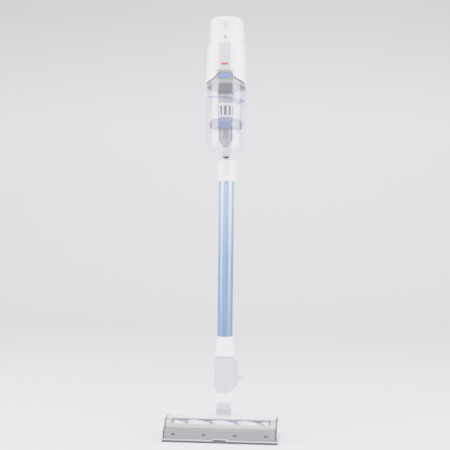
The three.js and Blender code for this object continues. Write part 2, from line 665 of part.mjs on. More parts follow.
function inletDuct() {
  const group = new THREE.Group();
  const path = new THREE.CurvePath();
  const bend = new THREE.CubicBezierCurve3(
    new THREE.Vector3(0, 0, 655), new THREE.Vector3(0, 0, 680),
    new THREE.Vector3(0, DUCT.y, 672), new THREE.Vector3(0, DUCT.y, 704));
  path.add(bend);
  const circle = (r, n) => new THREE.Shape(Array.from({ length: n }, (_, i) =>
    new THREE.Vector2(r * Math.cos((2 * Math.PI * i) / n), r * Math.sin((2 * Math.PI * i) / n))));
  const along = (curve, r, n, steps) =>
    solid(new THREE.ExtrudeGeometry(circle(r, n), { steps, bevelEnabled: false, extrudePath: curve }));
  const elbow = along(bend, DUCT.r, 18, 6);
  const elbowBore = along(bend, DUCT.r - 2.4, 18, 6);
  const collar = turned(
    [
      [0, COLLAR_BOTTOM],
      [23.6, COLLAR_BOTTOM],
      [24.5, COLLAR_BOTTOM + 2],
      [24.5, 660],
      [23, 666],
      [18, COLLAR_TOP],
      [0, COLLAR_TOP],
    ],
    0, 0, 32);
  const column = rodZ(DUCT.r, 703, DUCT.top, 0, DUCT.y, 18);
  const columnBore = rodZ(DUCT.r - 2.4, 700, DUCT.top - 3, 0, DUCT.y, 18);
  const nozzle = block(-14, 14, 16, 30, 784, 818).subtract(block(-11.5, 11.5, 14, 32, 787, 815));
  const buttonWell = block(-9.4, 9.4, -30, -19.2, 631, 664.5);
  const socket = rodZ(
    19.2,
    COLLAR_BOTTOM - 1,
    WAND_END + 1,
    0,
    0,
    28,
  ).add(rodZ(15, WAND_END, 660, 0, 0, 24));
  const binRoom = rodZ(BIN.r + 0.9, 660, 850, 0, BIN.y, 48).subtract(block(-30, 30, -90, 20, 650, 671.5));
  const outside = collar.add(elbow).add(column).subtract(binRoom).add(
    nozzle.subtract(rodZ(BIN.r + 0.8, 780, 820, 0, BIN.y, 48)),
  );
  const inside = [socket, elbowBore, columnBore, buttonWell, block(-11.5, 11.5, 10, 34, 787, 815)];
  group.add(piece("inlet_duct", inside.reduce((a, b) => a.subtract(b), outside), look.white));
  group.add(
    piece("wand_release_button", prismY(roundedRectangle(-9, 9, 631.6, 664, 2.5), -25.2, -22.4), look.cream),
  );
  const spine = block(-14, 14, DUCT.y + 18.2, 53.4, 742, LOOP.bottom - 0.6).add(
    block(-14, 14, 36, 53.4, DUCT.top + 0.6, LOOP.bottom - 0.6),
  );
  group.add(piece("battery_dock", spine, look.white));
  group.add(piece("hook_seat", block(-7.5, 7.5, -23.5, -16.5, COLLAR_TOP + GAP, 672.4), look.black));
  return group;
}

// ---------- dust bin and cyclone ----------
function dustBin() {
  const group = new THREE.Group();
  const { r, wall, bottom, top, y } = BIN;
  const profile = [
    [0, bottom], [33, bottom], [41, bottom + 2.5], [46, bottom + 8], [r, bottom + 16], [r, top],
    [r - wall, top], [r - wall, bottom + 16.5], [44, bottom + 10],
    [40, bottom + 5], [33, bottom + 2.6], [0, bottom + 2.6],
  ];
  const tongue = turned(
    [[r - wall, top - 2], [r, top - 2], [r, 872], [r - wall, 872], [r - wall, top - 2]],
    0,
    y,
    48,
  )
    .intersect(prismY(TONGUE, -100, -40));
  const lug = rodX(LUG.r, -9, 9, LUG.y, LUG.z, 20).add(
    block(-9, 9, LUG.y - 5, LUG.y + 5, LUG.z, bottom + 1),
  );
  const port = block(-12, 12, 0, 30, 787, 815);
  const cup = turned(profile, 0, y, 48).add(tongue).add(lug).subtract(port);
  group.add(piece("dust_cup", cup, look.clear));

  const frame = prismY([[-18.5, 851], [-14, 872], [14, 872], [18.5, 851]].reverse(), -88.5, -84.2)
    .subtract(prismY(roundedRectangle(-11.6, 11.6, 853, 865, 2), -95, -80));
  group.add(piece("bin_latch_frame", frame, look.grey));
  group.add(
    piece(
      "bin_release_button",
      prismY(roundedRectangle(-11.1, 11.1, 853.5, 864.5, 2), -90, -86.6),
      look.blue,
    ),
  );

  const inside = r - wall - 0.5;
  const head = [[0, 837.6], [inside, 837.6], [inside, 832], [25, 832], [20, 820.4], [0, 820.4]].reverse();
  group.add(piece("cyclone_lid", turned(head, 0, y, 32), look.silver));
  const ramp = warped(28, (u, v, w) => {
    const a = Math.PI * (1.35 - 1.85 * u);
    const radius = 20.4 + v * (inside - 22.4);
    return [radius * Math.cos(a), y - radius * Math.sin(a), 817.4 - 18 * u + 2.4 * w];
  });
  const rampCore = turned([[0, 799], [19.6, 799], [19.6, 820], [0, 820]], 0, y, 32);
  group.add(piece("spiral_ramp", ramp.add(rampCore).add(rodZ(20.6, 806, 820, 0, y, 32)), look.blue));

  let cage = turned(
    [[18.4, 765], [20.8, 765], [20.8, 796], [25, 796], [25, 798.4], [18.4, 798.4], [18.4, 765]],
    0,
    y,
    30,
  );
  for (let i = 0; i < 10; i++) {
    const slotBox = new THREE.BoxGeometry(8, 8.4, 22).translate(19.5, 0, 782).rotateZ(
      ((i + 0.5) * Math.PI) / 5 + Math.PI / 2,
    );
    cage = cage.subtract(solid(slotBox.translate(0, y, 0)));
  }
  group.add(piece("mesh_cage", cage, look.white));
  group.add(
    piece(
      "mesh_screen",
      turned([[16.6, 765], [18, 765], [18, 798], [16.6, 798], [16.6, 765]], 0, y, 32),
      look.darkGrey,
    ),
  );
  const skirt = [
    [17.4, 764.4], [24, 763.6], [36, 759.5], [39.5, 753], [39.5, 741], [37.3, 737.5], [36.8, 741],
    [36.8, 752], [33.5, 757], [23, 760.6], [17.4, 760.6], [17.4, 764.4],
  ];
  group.add(piece("cyclone_skirt", turned(skirt, 0, y, 32), look.blue));
  const fine = [
    [0, 698.4], [9.6, 698.4], [12, 703], [16.2, 709], [16.9, 716], [16.9, 764], [15.4, 764],
    [15.4, 716], [14.6, 710], [10.8, 705], [8, 700.8], [0, 700.8],
  ];
  group.add(piece("fine_dust_cone", turned(fine, 0, y, 24), look.clear));
  group.add(piece("dust_cone_cap", rodZ(9, 694.5, 698, 0, y, 24), look.black));
  return group;
}

const vacuum = new THREE.Group();
vacuum.add(
  floorHead(),
  brushCartridge(),
  wheels(),
  neck(),
  wand(),
  inletDuct(),
  dustBin(),
  motorUnit(),
  handle(),
);
export default vacuum;
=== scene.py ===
"""The looks of a cordless stick vacuum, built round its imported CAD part."""

import math

import bmesh
import bpy
from mathutils import Matrix, Vector


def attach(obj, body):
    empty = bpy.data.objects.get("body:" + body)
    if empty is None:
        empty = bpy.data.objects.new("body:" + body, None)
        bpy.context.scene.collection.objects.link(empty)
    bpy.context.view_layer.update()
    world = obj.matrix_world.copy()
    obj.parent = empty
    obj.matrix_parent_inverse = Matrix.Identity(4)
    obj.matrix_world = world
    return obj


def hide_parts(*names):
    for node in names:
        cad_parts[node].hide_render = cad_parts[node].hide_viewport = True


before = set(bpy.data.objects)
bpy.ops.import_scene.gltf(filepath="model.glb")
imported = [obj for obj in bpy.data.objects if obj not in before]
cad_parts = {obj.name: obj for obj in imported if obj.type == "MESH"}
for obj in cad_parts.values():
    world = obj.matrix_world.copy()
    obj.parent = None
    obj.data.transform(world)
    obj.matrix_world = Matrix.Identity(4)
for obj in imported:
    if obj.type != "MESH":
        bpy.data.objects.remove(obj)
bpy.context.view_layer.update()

MM = 0.001
TAU = 2 * math.pi
SMOOTH_ANGLE = 32  # degrees
WELD = 2e-6  # metres
SLIVER = 1e-7


# ---------- meshes, drawn in millimetres ----------
def from_data(verts, faces, name="shape"):
    mesh = bpy.data.meshes.new(name)
    mesh.from_pydata([tuple(c * MM for c in v) for v in verts], [], faces)
    return clean(link(mesh, name))


def link(mesh, name="shape"):
    ob = bpy.data.objects.new(name, mesh)
    bpy.context.scene.collection.objects.link(ob)
    return ob


def clean(ob, merge=True):
    """Joins doubled points, drops slivers and loose edges, and turns every face outwards."""
    bm = bmesh.new()
    bm.from_mesh(ob.data)
    if merge:
        bmesh.ops.remove_doubles(bm, verts=bm.verts, dist=WELD)
        bmesh.ops.dissolve_degenerate(bm, edges=bm.edges, dist=SLIVER)
        bmesh.ops.holes_fill(bm, edges=bm.edges, sides=8)
        loose = [e for e in bm.edges if not e.link_faces]
        bmesh.ops.delete(bm, geom=loose, context="EDGES")
    bmesh.ops.recalc_face_normals(bm, faces=bm.faces)
    bm.to_mesh(ob.data)
    bm.free()
    return ob


def baked(ob):
    """The object with its modifiers, or its curve, turned into a plain mesh."""
    bpy.context.view_layer.update()
    seen = ob.evaluated_get(bpy.context.evaluated_depsgraph_get())
    mesh = bpy.data.meshes.new_from_object(seen)
    mesh.transform(ob.matrix_world)
    new = link(mesh)
    bpy.data.objects.remove(ob)
    return new


def combine(base, kind, others):
    for other in others:
        m = base.modifiers.new("cut", "BOOLEAN")
        m.operation = kind
        m.solver = "EXACT"
        m.object = other
        base = baked(base)
        bpy.data.objects.remove(other)
    return clean(base)


def cut(base, *others):
    return combine(base, "DIFFERENCE", others)


def add(base, *others):
    return combine(base, "UNION", others)


def common(base, *others):
    return combine(base, "INTERSECT", others)


def together(*obs):
    """Separate bodies kept in one piece."""
    bm = bmesh.new()
    for ob in obs:
        bm.from_mesh(ob.data)
        bpy.data.objects.remove(ob)
    mesh = bpy.data.meshes.new("shape")
    bm.to_mesh(mesh)
    bm.free()
    return link(mesh)


def fillet(points, radius, closed=True, steps=5):
    """The outline with each corner turned into an arc. A point may carry its own radius as a third number."""
    out = []
    n = len(points)
    for i, p in enumerate(points):
        r = p[2] if len(p) > 2 else radius
        here = Vector(p[:2])
        if r <= 0 or (not closed and i in (0, n - 1)):
            out.append(tuple(here))
            continue
        before, after = Vector(points[i - 1][:2]) - here, Vector(points[(i + 1) % n][:2]) - here
        if before.length < 1e-6 or after.length < 1e-6:
            continue
        half = before.angle(after) / 2
        if half > math.radians(89):
            out.append(tuple(here))
            continue
        reach = min(r / math.tan(half), before.length * 0.49, after.length * 0.49)
        a, b = here + before.normalized() * reach, here + after.normalized() * reach
        for k in range(steps + 1):
            t = k / steps
            q = a * (1 - t) ** 2 + here * 2 * t * (1 - t) + b * t * t
            out.append((q.x, q.y))
    return out


def lathe(profile, x=0, y=0, sides=96, radius=0.6, axis="z", z=0):
    """A closed profile of (radius, height) turned about an axis through (x, y, z)."""
    ring = fillet(profile, radius)
    verts, faces = [], []
    for i in range(sides):
        c, s = math.cos(TAU * i / sides), math.sin(TAU * i / sides)
        for r, h in ring:
            u, v = max(r, 0) * c, max(r, 0) * s
            verts.append((x + u, y + v, h) if axis == "z" else (h, y + u, z + v))
    n = len(ring)
    for i in range(sides):
        for k in range(n):
            a, b = i * n + k, i * n + (k + 1) % n
            c, d = ((i + 1) % sides) * n + (k + 1) % n, ((i + 1) % sides) * n + k
            faces.append((a, b, c, d))
    return from_data(verts, faces)


def rod(r, a, b, u, v, axis="z", sides=64, edge=0.4):
    """A round bar from a to b along an axis, with rounded rims."""
    if axis == "y":
        ob = rod(r, a, b, 0, 0, "z", sides, edge)
        ob.data.transform(Matrix(((1, 0, 0, u * MM), (0, 0, 1, 0), (0, -1, 0, v * MM), (0, 0, 0, 1))))
        return ob
    profile = [(0, a, 0), (r, a), (r, b), (0, b, 0)]
    if axis == "x":
        return lathe(profile, 0, u, sides, edge, "x", v)
    return lathe(profile, u, v, sides, edge)


AXES = {
    "x": Matrix(((0, 0, 1, 0), (1, 0, 0, 0), (0, 1, 0, 0), (0, 0, 0, 1))),
    "y": Matrix(((1, 0, 0, 0), (0, 0, -1, 0), (0, 1, 0, 0), (0, 0, 0, 1))),
    "z": Matrix.Identity(4),
}


def prism(axis, outlines, a, b, bevel=0.5, steps=3):
    """Outlines, the first outside and the rest holes, drawn out from a to b along an axis with rounded rims."""
    curve = bpy.data.curves.new("outline", "CURVE")
    curve.dimensions = "2D"
    curve.fill_mode = "BOTH"
    if isinstance(outlines[0][0], (int, float)):
        outlines = [outlines]
    for points in outlines:
        spline = curve.splines.new("POLY")
        spline.points.add(len(points) - 1)
        for p, q in zip(spline.points, points):
            p.co = (q[0] * MM, q[1] * MM, 0, 1)
        spline.use_cyclic_u = True
    curve.extrude = ((b - a) / 2 - bevel) * MM
    curve.bevel_depth = bevel * MM
    curve.bevel_resolution = steps - 1
    curve.offset = -bevel * MM
    ob = bpy.data.objects.new("outline", curve)
    bpy.context.scene.collection.objects.link(ob)
    middle = (a + b) / 2 * MM
    shift = {"x": (middle, 0, 0), "y": (0, middle, 0), "z": (0, 0, middle)}[axis]
    ob.matrix_world = Matrix.Translation(shift) @ AXES[axis]
    return clean(baked(ob))


def rounded(u0, u1, v0, v1, r, steps=8):
    return fillet([(u0, v0), (u1, v0), (u1, v1), (u0, v1)], r, steps=steps)


def block(x0, x1, y0, y1, z0, z1, bevel=0.4, r=0.6):
    return prism("z", rounded(x0, x1, y0, y1, r, 4), z0, z1, bevel)


def grid(cols, rows, point):
    """Vertices and faces of a grid whose corner (i, k) is point(i / cols, k / rows)."""
    n = cols + 1
    verts = [point(i / cols, k / rows) for k in range(rows + 1) for i in range(n)]
    faces = []
    for k in range(rows):
        for i in range(cols):
            a, b = k * n + i, k * n + (i + 1) % n
            faces.append((a, b, b + n, a + n))
    return verts, faces


def ring_faces(count, sides):
    """Faces between stacked rings of points, with a cap on the first ring and on the last."""
    faces = []
    for k in range(count - 1):
        for i in range(sides):
            a, b = k * sides + i, k * sides + (i + 1) % sides
            faces.append((a, b, b + sides, a + sides))
    last = (count - 1) * sides
    return faces + [tuple(range(sides)), tuple(last + i for i in range(sides))]


def shell(cols, rows, outer, inner):
    """A closed sheet between two grids of points."""
    va, fa = grid(cols, rows, outer)
    vb, fb = grid(cols, rows, inner)
    n, m = cols + 1, len(va)
    faces = fa + [tuple(m + i for i in reversed(f)) for f in fb]
    for k in range(rows):
        for side in (0, cols):
            a, b = k * n + side, (k + 1) * n + side
            faces.append((a, b, m + b, m + a))
    for i in range(cols):
        for row in (0, rows):
            a = row * n + i
            faces.append((a, a + 1, m + a + 1, m + a))
    return from_data(va + vb, faces)


def sliced(ob, step_x, step_z):
    """Cuts the faces of a flat plate along a grid, so that it can be bent."""
    bm = bmesh.new()
    bm.from_mesh(ob.data)
    for axis, step in ((0, step_x), (2, step_z)):
        low = min(v.co[axis] for v in bm.verts)
        high = max(v.co[axis] for v in bm.verts)
        count = int((high - low) / (step * MM))
        for i in range(1, count + 1):
            at, normal = [0, 0, 0], [0, 0, 0]
            at[axis], normal[axis] = low + i * step * MM, 1
            everything = bm.verts[:] + bm.edges[:] + bm.faces[:]
            bmesh.ops.bisect_plane(bm, geom=everything, plane_co=at, plane_no=normal, dist=SLIVER)
    bm.to_mesh(ob.data)
    bm.free()
    return ob


def tube(points, radius, sides=32, resolution=10):
    curve = bpy.data.curves.new("path", "CURVE")
    curve.dimensions = "3D"
    spline = curve.splines.new("BEZIER")
    spline.bezier_points.add(len(points) - 1)
    for bp, (co, left, right) in zip(spline.bezier_points, points):
        bp.co, bp.handle_left, bp.handle_right = [tuple(c * MM for c in q) for q in (co, left, right)]
    spline.resolution_u = resolution
    curve.bevel_depth = radius * MM
    curve.bevel_resolution = sides // 4 - 1
    curve.use_fill_caps = True
    ob = bpy.data.objects.new("path", curve)
    bpy.context.scene.collection.objects.link(ob)
    return clean(baked(ob))


def part(ob, name, body, materials, nodes=(), angle=SMOOTH_ANGLE):
    """Names a finished shape, gives it its look, and ties it to its CAD body."""
    ob.name = name
    ob.data.name = name
    materials = materials if isinstance(materials, list) else [materials]
    for m in materials:
        ob.data.materials.append(m)
    ob.data.shade_smooth()
    ob.data.set_sharp_from_angle(angle=math.radians(angle))
    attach(ob, body)
    if nodes:
        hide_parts(*nodes)
    return ob


def stand_in(ob, node, body, materials, angle=SMOOTH_ANGLE):
    """A finished shape that takes the place of one CAD node."""
    return part(ob, node + "_fine", body, materials, [node], angle)


# ---------- materials ----------
class Nodes:
    """A short way to build a node material."""

    def __init__(self, name):
        self.mat = bpy.data.materials.new(name)
        self.mat.use_nodes = True
        self.tree = self.mat.node_tree
        self.tree.nodes.clear()
        self.out = self.tree.nodes.new("ShaderNodeOutputMaterial")
        self.where = self.make("TexCoord").outputs["Object"]

    def make(self, kind, **values):
        node = self.tree.nodes.new("ShaderNode" + kind)
        for key, value in values.items():
            if hasattr(node, key):
                setattr(node, key, value)
        return node

    def join(self, source, target):
        self.tree.links.new(source, target)

    def mapped(self, scale, rotation=(0, 0, 0)):
        node = self.make("Mapping")
        node.inputs["Scale"].default_value = scale
        node.inputs["Rotation"].default_value = rotation
        self.join(self.where, node.inputs["Vector"])
        return node.outputs["Vector"]

    def noise(self, scale, detail=3.0, stretch=None, rough=0.55):
        node = self.make("TexNoise")
        node.inputs["Scale"].default_value = scale
        node.inputs["Detail"].default_value = detail
        node.inputs["Roughness"].default_value = rough
        self.join(self.mapped(stretch) if stretch else self.where, node.inputs["Vector"])
        return node.outputs["Fac"]

    def between(self, value, low, high, from_low=0.3, from_high=0.7):
        node = self.make("MapRange")
        node.inputs["From Min"].default_value = from_low
        node.inputs["From Max"].default_value = from_high
        node.inputs["To Min"].default_value = low
        node.inputs["To Max"].default_value = high
        self.join(value, node.inputs["Value"])
        return node.outputs["Result"]

    def colours(self, value, stops):
        node = self.make("ValToRGB")
        ramp = node.color_ramp
        while len(ramp.elements) < len(stops):
            ramp.elements.new(0.5)
        for element, (at, colour) in zip(ramp.elements, stops):
            element.position = at
            element.color = (*colour, 1)
        self.join(value, node.inputs["Fac"])
        return node.outputs["Color"]

    def maths(self, kind, a, b):
        node = self.make("Math", operation=kind)
        for socket, v in zip(node.inputs, (a, b)):
            if isinstance(v, (int, float)):
                socket.default_value = v
            else:
                self.join(v, socket)
        return node.outputs[0]

    def bump(self, height, strength, distance):
        node = self.make("Bump")
        node.inputs["Strength"].default_value = strength
        node.inputs["Distance"].default_value = distance
        self.join(height, node.inputs["Height"])
        return node.outputs["Normal"]

    def principled(self, **values):
        node = self.make("BsdfPrincipled")
        for key, value in values.items():
            socket = node.inputs[key.replace("_", " ")]
            if isinstance(value, bpy.types.NodeSocket):
                self.join(value, socket)
            else:
                socket.default_value = value
        return node

    def finish(self, **values):
        return self.end(self.principled(**values).outputs[0])

    def end(self, shader):
        self.join(shader, self.out.inputs["Surface"])
        return self.mat


def tones(colour, spread):
    return [(0.3, tuple(c * (1 - spread) for c in colour)), (0.7, tuple(min(1, c * (1 + spread)) for c in colour))]


def plastic(name, colour, rough, grain=2500, depth=0.03, coat=0.0, spread=0.02, metallic=0.0):
    """Moulded plastic: a faint cloudiness in the colour, a fine moulded grain and uneven gloss."""
    n = Nodes(name)
    base = n.colours(n.noise(30), tones(colour, spread))
    gloss = n.between(n.noise(90, 5), rough * 0.82, rough * 1.2)
    skin = n.bump(n.noise(grain, 2), depth, 0.0002)
    shader = n.principled(Base_Color=base, Roughness=gloss, Normal=skin, Metallic=metallic)
    shader.inputs["Coat Weight"].default_value = coat
    shader.inputs["Coat Roughness"].default_value = 0.12
    return n.end(shader.outputs[0])


def clear_plastic(name, tint=(0.965, 0.968, 0.985), body=0.02, body_colour=(0.93, 0.93, 0.97), sheen=1.0):
    """Clear moulding: light goes through it, with a mirror at the edges and a little milk in the plastic."""
    n = Nodes(name)
    through = n.make("BsdfTransparent")
    through.inputs["Color"].default_value = (*tint, 1)
    haze = n.principled(
        Roughness=n.between(n.noise(60, 4), 0.08, 0.16),
        Base_Color=n.colours(n.noise(25), tones(body_colour, 0.03)),
    )
    milk = n.make("MixShader")
    milk.inputs["Fac"].default_value = body
    n.join(through.outputs[0], milk.inputs[1])
    n.join(haze.outputs[0], milk.inputs[2])
    mirror = n.make("BsdfGlossy")
    mirror.inputs["Roughness"].default_value = 0.04
    mirror.inputs["Color"].default_value = (0.97, 0.97, 1.0, 1)
    edge = n.make("LayerWeight")
    edge.inputs["Blend"].default_value = 0.5
    rim = n.maths("MULTIPLY", n.maths("POWER", edge.outputs["Facing"], 4.0), 0.42 * sheen)
    mix = n.make("MixShader")
    n.join(n.maths("ADD", rim, 0.055 * sheen), mix.inputs["Fac"])
    n.join(milk.outputs[0], mix.inputs[1])
    n.join(mirror.outputs[0], mix.inputs[2])
    return n.end(mix.outputs[0])


def anodised_with_painted_light():
    """Anodised aluminium, drawn along its length, with painted light and shade: darker towards the bottom, paler
    towards the top.
    """
    n = Nodes("anodised_blue")
    height = n.make("SeparateXYZ")
    n.join(n.where, height.inputs[0])
    # painted light and shade: the blue is graded by height, dark low down and pale high up
    along = n.between(height.outputs["Z"], 0.0, 1.0, 0.236, 0.616)
    base = n.colours(along, [(0.0, (0.055, 0.12, 0.25)), (0.5, (0.09, 0.19, 0.42)), (1.0, (0.25, 0.43, 0.72))])
    streak = n.noise(900, 4, (1, 1, 0.012))
    gloss = n.between(streak, 0.24, 0.38)
    skin = n.bump(streak, 0.05, 0.0001)
    return n.finish(Base_Color=base, Roughness=gloss, Normal=skin, Metallic=0.75)


def pile(name, colour, spread=0.12, scale=1800, depth=0.6, sheen=0.4):
    """Short dense fibre."""
    n = Nodes(name)
    hair = n.noise(scale, 5, (0.35, 1, 1), 0.7)
    base = n.colours(hair, tones(colour, spread))
    rough = n.between(hair, 0.75, 0.95)
    shader = n.principled(Base_Color=base, Roughness=rough, Normal=n.bump(hair, depth, 0.0006))
    shader.inputs["Sheen Weight"].default_value = sheen
    shader.inputs["Sheen Roughness"].default_value = 0.5
    return n.end(shader.outputs[0])


def screen_mesh():
    """Fine punched steel: rows of small dark holes, painted near-black as painted shade in the holes."""
    n = Nodes("punched_steel")
    cell = n.make("TexVoronoi", feature="F1")
    cell.inputs["Scale"].default_value = 850
    cell.inputs["Randomness"].default_value = 0.15
    n.join(n.where, cell.inputs["Vector"])
    hole = cell.outputs["Distance"]
    # painted shade: the hole dots are near-black, the steel between them is its own dark grey
    base = n.colours(hole, [(0.25, (0.004, 0.004, 0.008)), (0.42, (0.05, 0.05, 0.07))])
    rough = n.between(hole, 0.9, 0.35, 0.2, 0.5)
    return n.finish(Base_Color=base, Roughness=rough, Normal=n.bump(hole, 0.5, 0.0003), Metallic=0.6)


def foam():
    n = Nodes("open_foam")
    cell = n.make("TexVoronoi")
    cell.inputs["Scale"].default_value = 700
    n.join(n.where, cell.inputs["Vector"])
    # painted shade: dark dots at the cell centres stand for the shade in the pores; the paler foam between is its
    # own colour
    base = n.colours(cell.outputs["Distance"], [(0.1, (0.45, 0.44, 0.42)), (0.6, (0.86, 0.85, 0.81))])
    rough = n.between(cell.outputs["Distance"], 0.85, 1.0)
    return n.finish(Base_Color=base, Roughness=rough, Normal=n.bump(cell.outputs["Distance"], 0.8, 0.001))


def brushed(name, colour, rough=0.28):
    n = Nodes(name)
    streak = n.noise(700, 4, (0.03, 1, 1))
    base = n.colours(streak, tones(colour, 0.06))
    gloss = n.between(streak, rough * 0.8, rough * 1.3)
    return n.finish(Base_Color=base, Roughness=gloss, Normal=n.bump(streak, 0.05, 0.0001), Metallic=1.0)


def lens(name, colour, glow):
    n = Nodes(name)
    base = n.colours(n.noise(400), tones(colour, 0.05))
    shader = n.principled(
        Base_Color=base, Roughness=n.between(n.noise(300), 0.12, 0.22), Normal=n.bump(n.noise(2200), 0.15, 0.0002),
    )
    shader.inputs["Emission Color"].default_value = (*colour, 1)
    shader.inputs["Emission Strength"].default_value = glow
    return n.end(shader.outputs[0])


white = plastic("white_gloss", (0.86, 0.86, 0.885), 0.24, depth=0.02, coat=0.35)
cream = plastic("cream_satin", (0.82, 0.79, 0.76), 0.38, depth=0.05)
pale = plastic("pale_grey_satin", (0.42, 0.42, 0.485), 0.42, depth=0.08)
silver = plastic("silver_grey", (0.28, 0.30, 0.29), 0.30, depth=0.04, coat=0.3, spread=0.04)
grey = plastic("mid_grey", (0.115, 0.115, 0.117), 0.46, depth=0.12)
dark = plastic("dark_grey", (0.03, 0.03, 0.045), 0.45, depth=0.12)
black = plastic("black_rubber", (0.012, 0.012, 0.014), 0.7, 1600, 0.25, spread=0.1)
tread = plastic("wheel_rubber", (0.045, 0.045, 0.05), 0.75, 1400, 0.35, spread=0.1)
blue = plastic("blue_gloss", (0.016, 0.034, 0.17), 0.3, depth=0.02, coat=0.1)
slate = plastic("slate_violet", (0.025, 0.025, 0.055), 0.35, depth=0.03, coat=0.1)
button_blue = plastic("button_blue", (0.05, 0.085, 0.32), 0.35, depth=0.05)
badge_red = plastic("badge_red", (0.34, 0.002, 0.003), 0.4, depth=0.02, coat=0.05)
board = plastic("circuit_board", (0.02, 0.12, 0.06), 0.4, 900, 0.2, spread=0.2)
cell_wrap = plastic("cell_wrap", (0.05, 0.12, 0.38), 0.35, depth=0.05)
clear = clear_plastic("clear_bin")
clear_cone = clear_plastic("clear_cone", (0.66, 0.67, 0.73), 0.16, (0.36, 0.37, 0.44))
clear_window = clear_plastic("clear_window", (0.93, 0.94, 0.95), 0.05, sheen=0.4)
# painted shade: a grey clear plastic for the bin's front top rim, standing in for the dark edge that light bending
# in the clear wall gives
rim_painted_shade = clear_plastic("clear_rim_painted_shade", (0.45, 0.45, 0.5), 0.5, (0.32, 0.32, 0.38))
anodised = anodised_with_painted_light()
nap = pile("white_nap", (0.80, 0.80, 0.83))
blue_hair = pile("blue_bristle", (0.02, 0.06, 0.34), 0.35, 2600, 0.4, 0.05)
dark_hair = pile("dark_bristle", (0.012, 0.012, 0.02), 0.35, 2600, 0.4, 0.03)
felt = pile("black_felt", (0.02, 0.02, 0.022), 0.3, 1500, 0.7, 0.3)
steel = brushed("bare_steel", (0.55, 0.56, 0.58))
screen = screen_mesh()
foam_white = foam()
lamp_lens = lens("lamp_lens", (0.045, 0.04, 0.045), 0.02)
lamp_dot = lens("lamp_dot", (0.80, 0.035, 0.03), 0.5)


# ---------- floor head ----------
HEAD = 129
BACK = -22
FRONT_Y = -124
SOLE_HALF = 137
BRUSH_Y, BRUSH_Z = -76, 24
CHAMBER_IN, CHAMBER_OUT = 23.4, 25.6


def arc(u, v, r, start, stop, steps=24):
    turn = [math.radians(start + (stop - start) * i / steps) for i in range(steps + 1)]
    return [(u + r * math.cos(a), v + r * math.sin(a)) for a in turn]


def circle(u, v, r, steps=64):
    return arc(u, v, r, 0, 360, steps)[:-1]


def chamber(r, start, stop, steps=24):
    return arc(BRUSH_Y, BRUSH_Z, r, start, stop, steps)


def sole_plate():
    """The base plate, its raised front lip, the fork for the pivot, and the walls of the brush chamber."""
    right_notch = [
        (SOLE_HALF, -92, 1), (117, -92, 1), (117, -98, 2), (-117, -98, 2), (-117, -54, 2), (117, -54, 2),
        (117, -60, 1), (SOLE_HALF, -60, 1),
    ]
    fork_notch = [
        (SOLE_HALF, -6, 6), (24.6, -6, 2), (24.6, -28, 2), (-24.6, -28, 2), (-24.6, -6, 2), (-SOLE_HALF, -6, 6),
    ]
    base = prism(
        "z", fillet([(-SOLE_HALF, -112, 0), (SOLE_HALF, -112, 0)] + right_notch + fork_notch, 2), 2.3, 6, 1.1,
    )
    lip = block(-SOLE_HALF, SOLE_HALF, -119.8, -108, 5.5, 8.9, 0.9, 1)
    bridge_line = [
        (-SOLE_HALF, 5.5), (-17, 5.5), (-14.2, 9), (14.2, 9), (17, 5.5), (SOLE_HALF, 5.5),
        (SOLE_HALF, 8.9), (19.4, 8.9), (16.6, 11.6), (-16.6, 11.6), (-19.4, 8.9), (-SOLE_HALF, 8.9),
    ]
    bridge = prism("y", fillet(bridge_line, 0.8), FRONT_Y, -119.4, 0.8)
    arm = fillet([(-20.5, 4.5, 0), (34, 4.5, 5), (38, 22, 10), (22, 40, 12), (-6, 40, 10), (-20.5, 24, 8)], 2)
    arm_holes = [circle(6, 30, 8.4), circle(26, 16, 3.3, 32)]
    arms = [prism("x", [arm] + arm_holes, x0, x1, 1.2) for x0, x1 in ((-36, -25), (25, 36))]
    shaft_notch = [
        (BRUSH_Y + 6.4, 30, 0.3), (BRUSH_Y + 6.4, BRUSH_Z, 0),
    ] + [(*p, 0) for p in chamber(6.4, 0, -180)] + [(BRUSH_Y - 6.4, 30, 0.3)]
    left_wall = prism(
        "x", fillet([(-96, 4.5), (-25, 4.5), (-25, 30)] + shaft_notch + [(-96, 30)], 2), -127, -122, 0.4,
    )
    right_wall = prism("x", fillet([(-51.5, 4.5), (-25, 4.5), (-25, 30), (-51.5, 30)], 2), 122, 127, 0.4)
    rear_line = [
        (-122.5, 4.5), (122.5, 4.5), (122.5, 30), (17, 30), (17, 12), (-17, 12), (-17, 30),
        (-113, 30), (-113, 12), (-120, 12), (-120, 30), (-122.5, 30),
    ]
    rear_wall = prism("y", fillet(rear_line, 0.8), -51.5, -49, 0.3)
    return together(base, lip, bridge, *arms, left_wall, right_wall, rear_wall)


stand_in(sole_plate(), "sole_plate", "floor_head", silver)

BACK_OPENING = 36.4
roof = chamber(CHAMBER_OUT + 0.6, 86, 80, 6) + fillet(
    [(-40, 49.6, 0), (-29, 48.6, 4), (BACK, 43, 5), (BACK, BACK_OPENING, 0)], 1, False,
)
lining = fillet([(BACK - 2.4, BACK_OPENING, 0), (BACK - 2.4, 41, 4), (-30, 46, 4), (-40, 47, 0)], 1, False)
lining += chamber(CHAMBER_IN + 0.5, 80, 86, 6)
cover = prism("x", roof + lining, -HEAD, HEAD, 0.5)
for x0, x1 in ((-HEAD, -24.6), (24.6, HEAD)):
    cover = together(cover, block(x0, x1, BACK - 2.4, BACK, 8.5, BACK_OPENING + 0.6, 0.4, 0.5))
for x in (-56, 56):
    cover = together(cover, prism("z", rounded(x - 19, x + 19, -47, -38, 2), 48, 50.6, 0.8))
stand_in(cover, "head_cover", "floor_head", white)

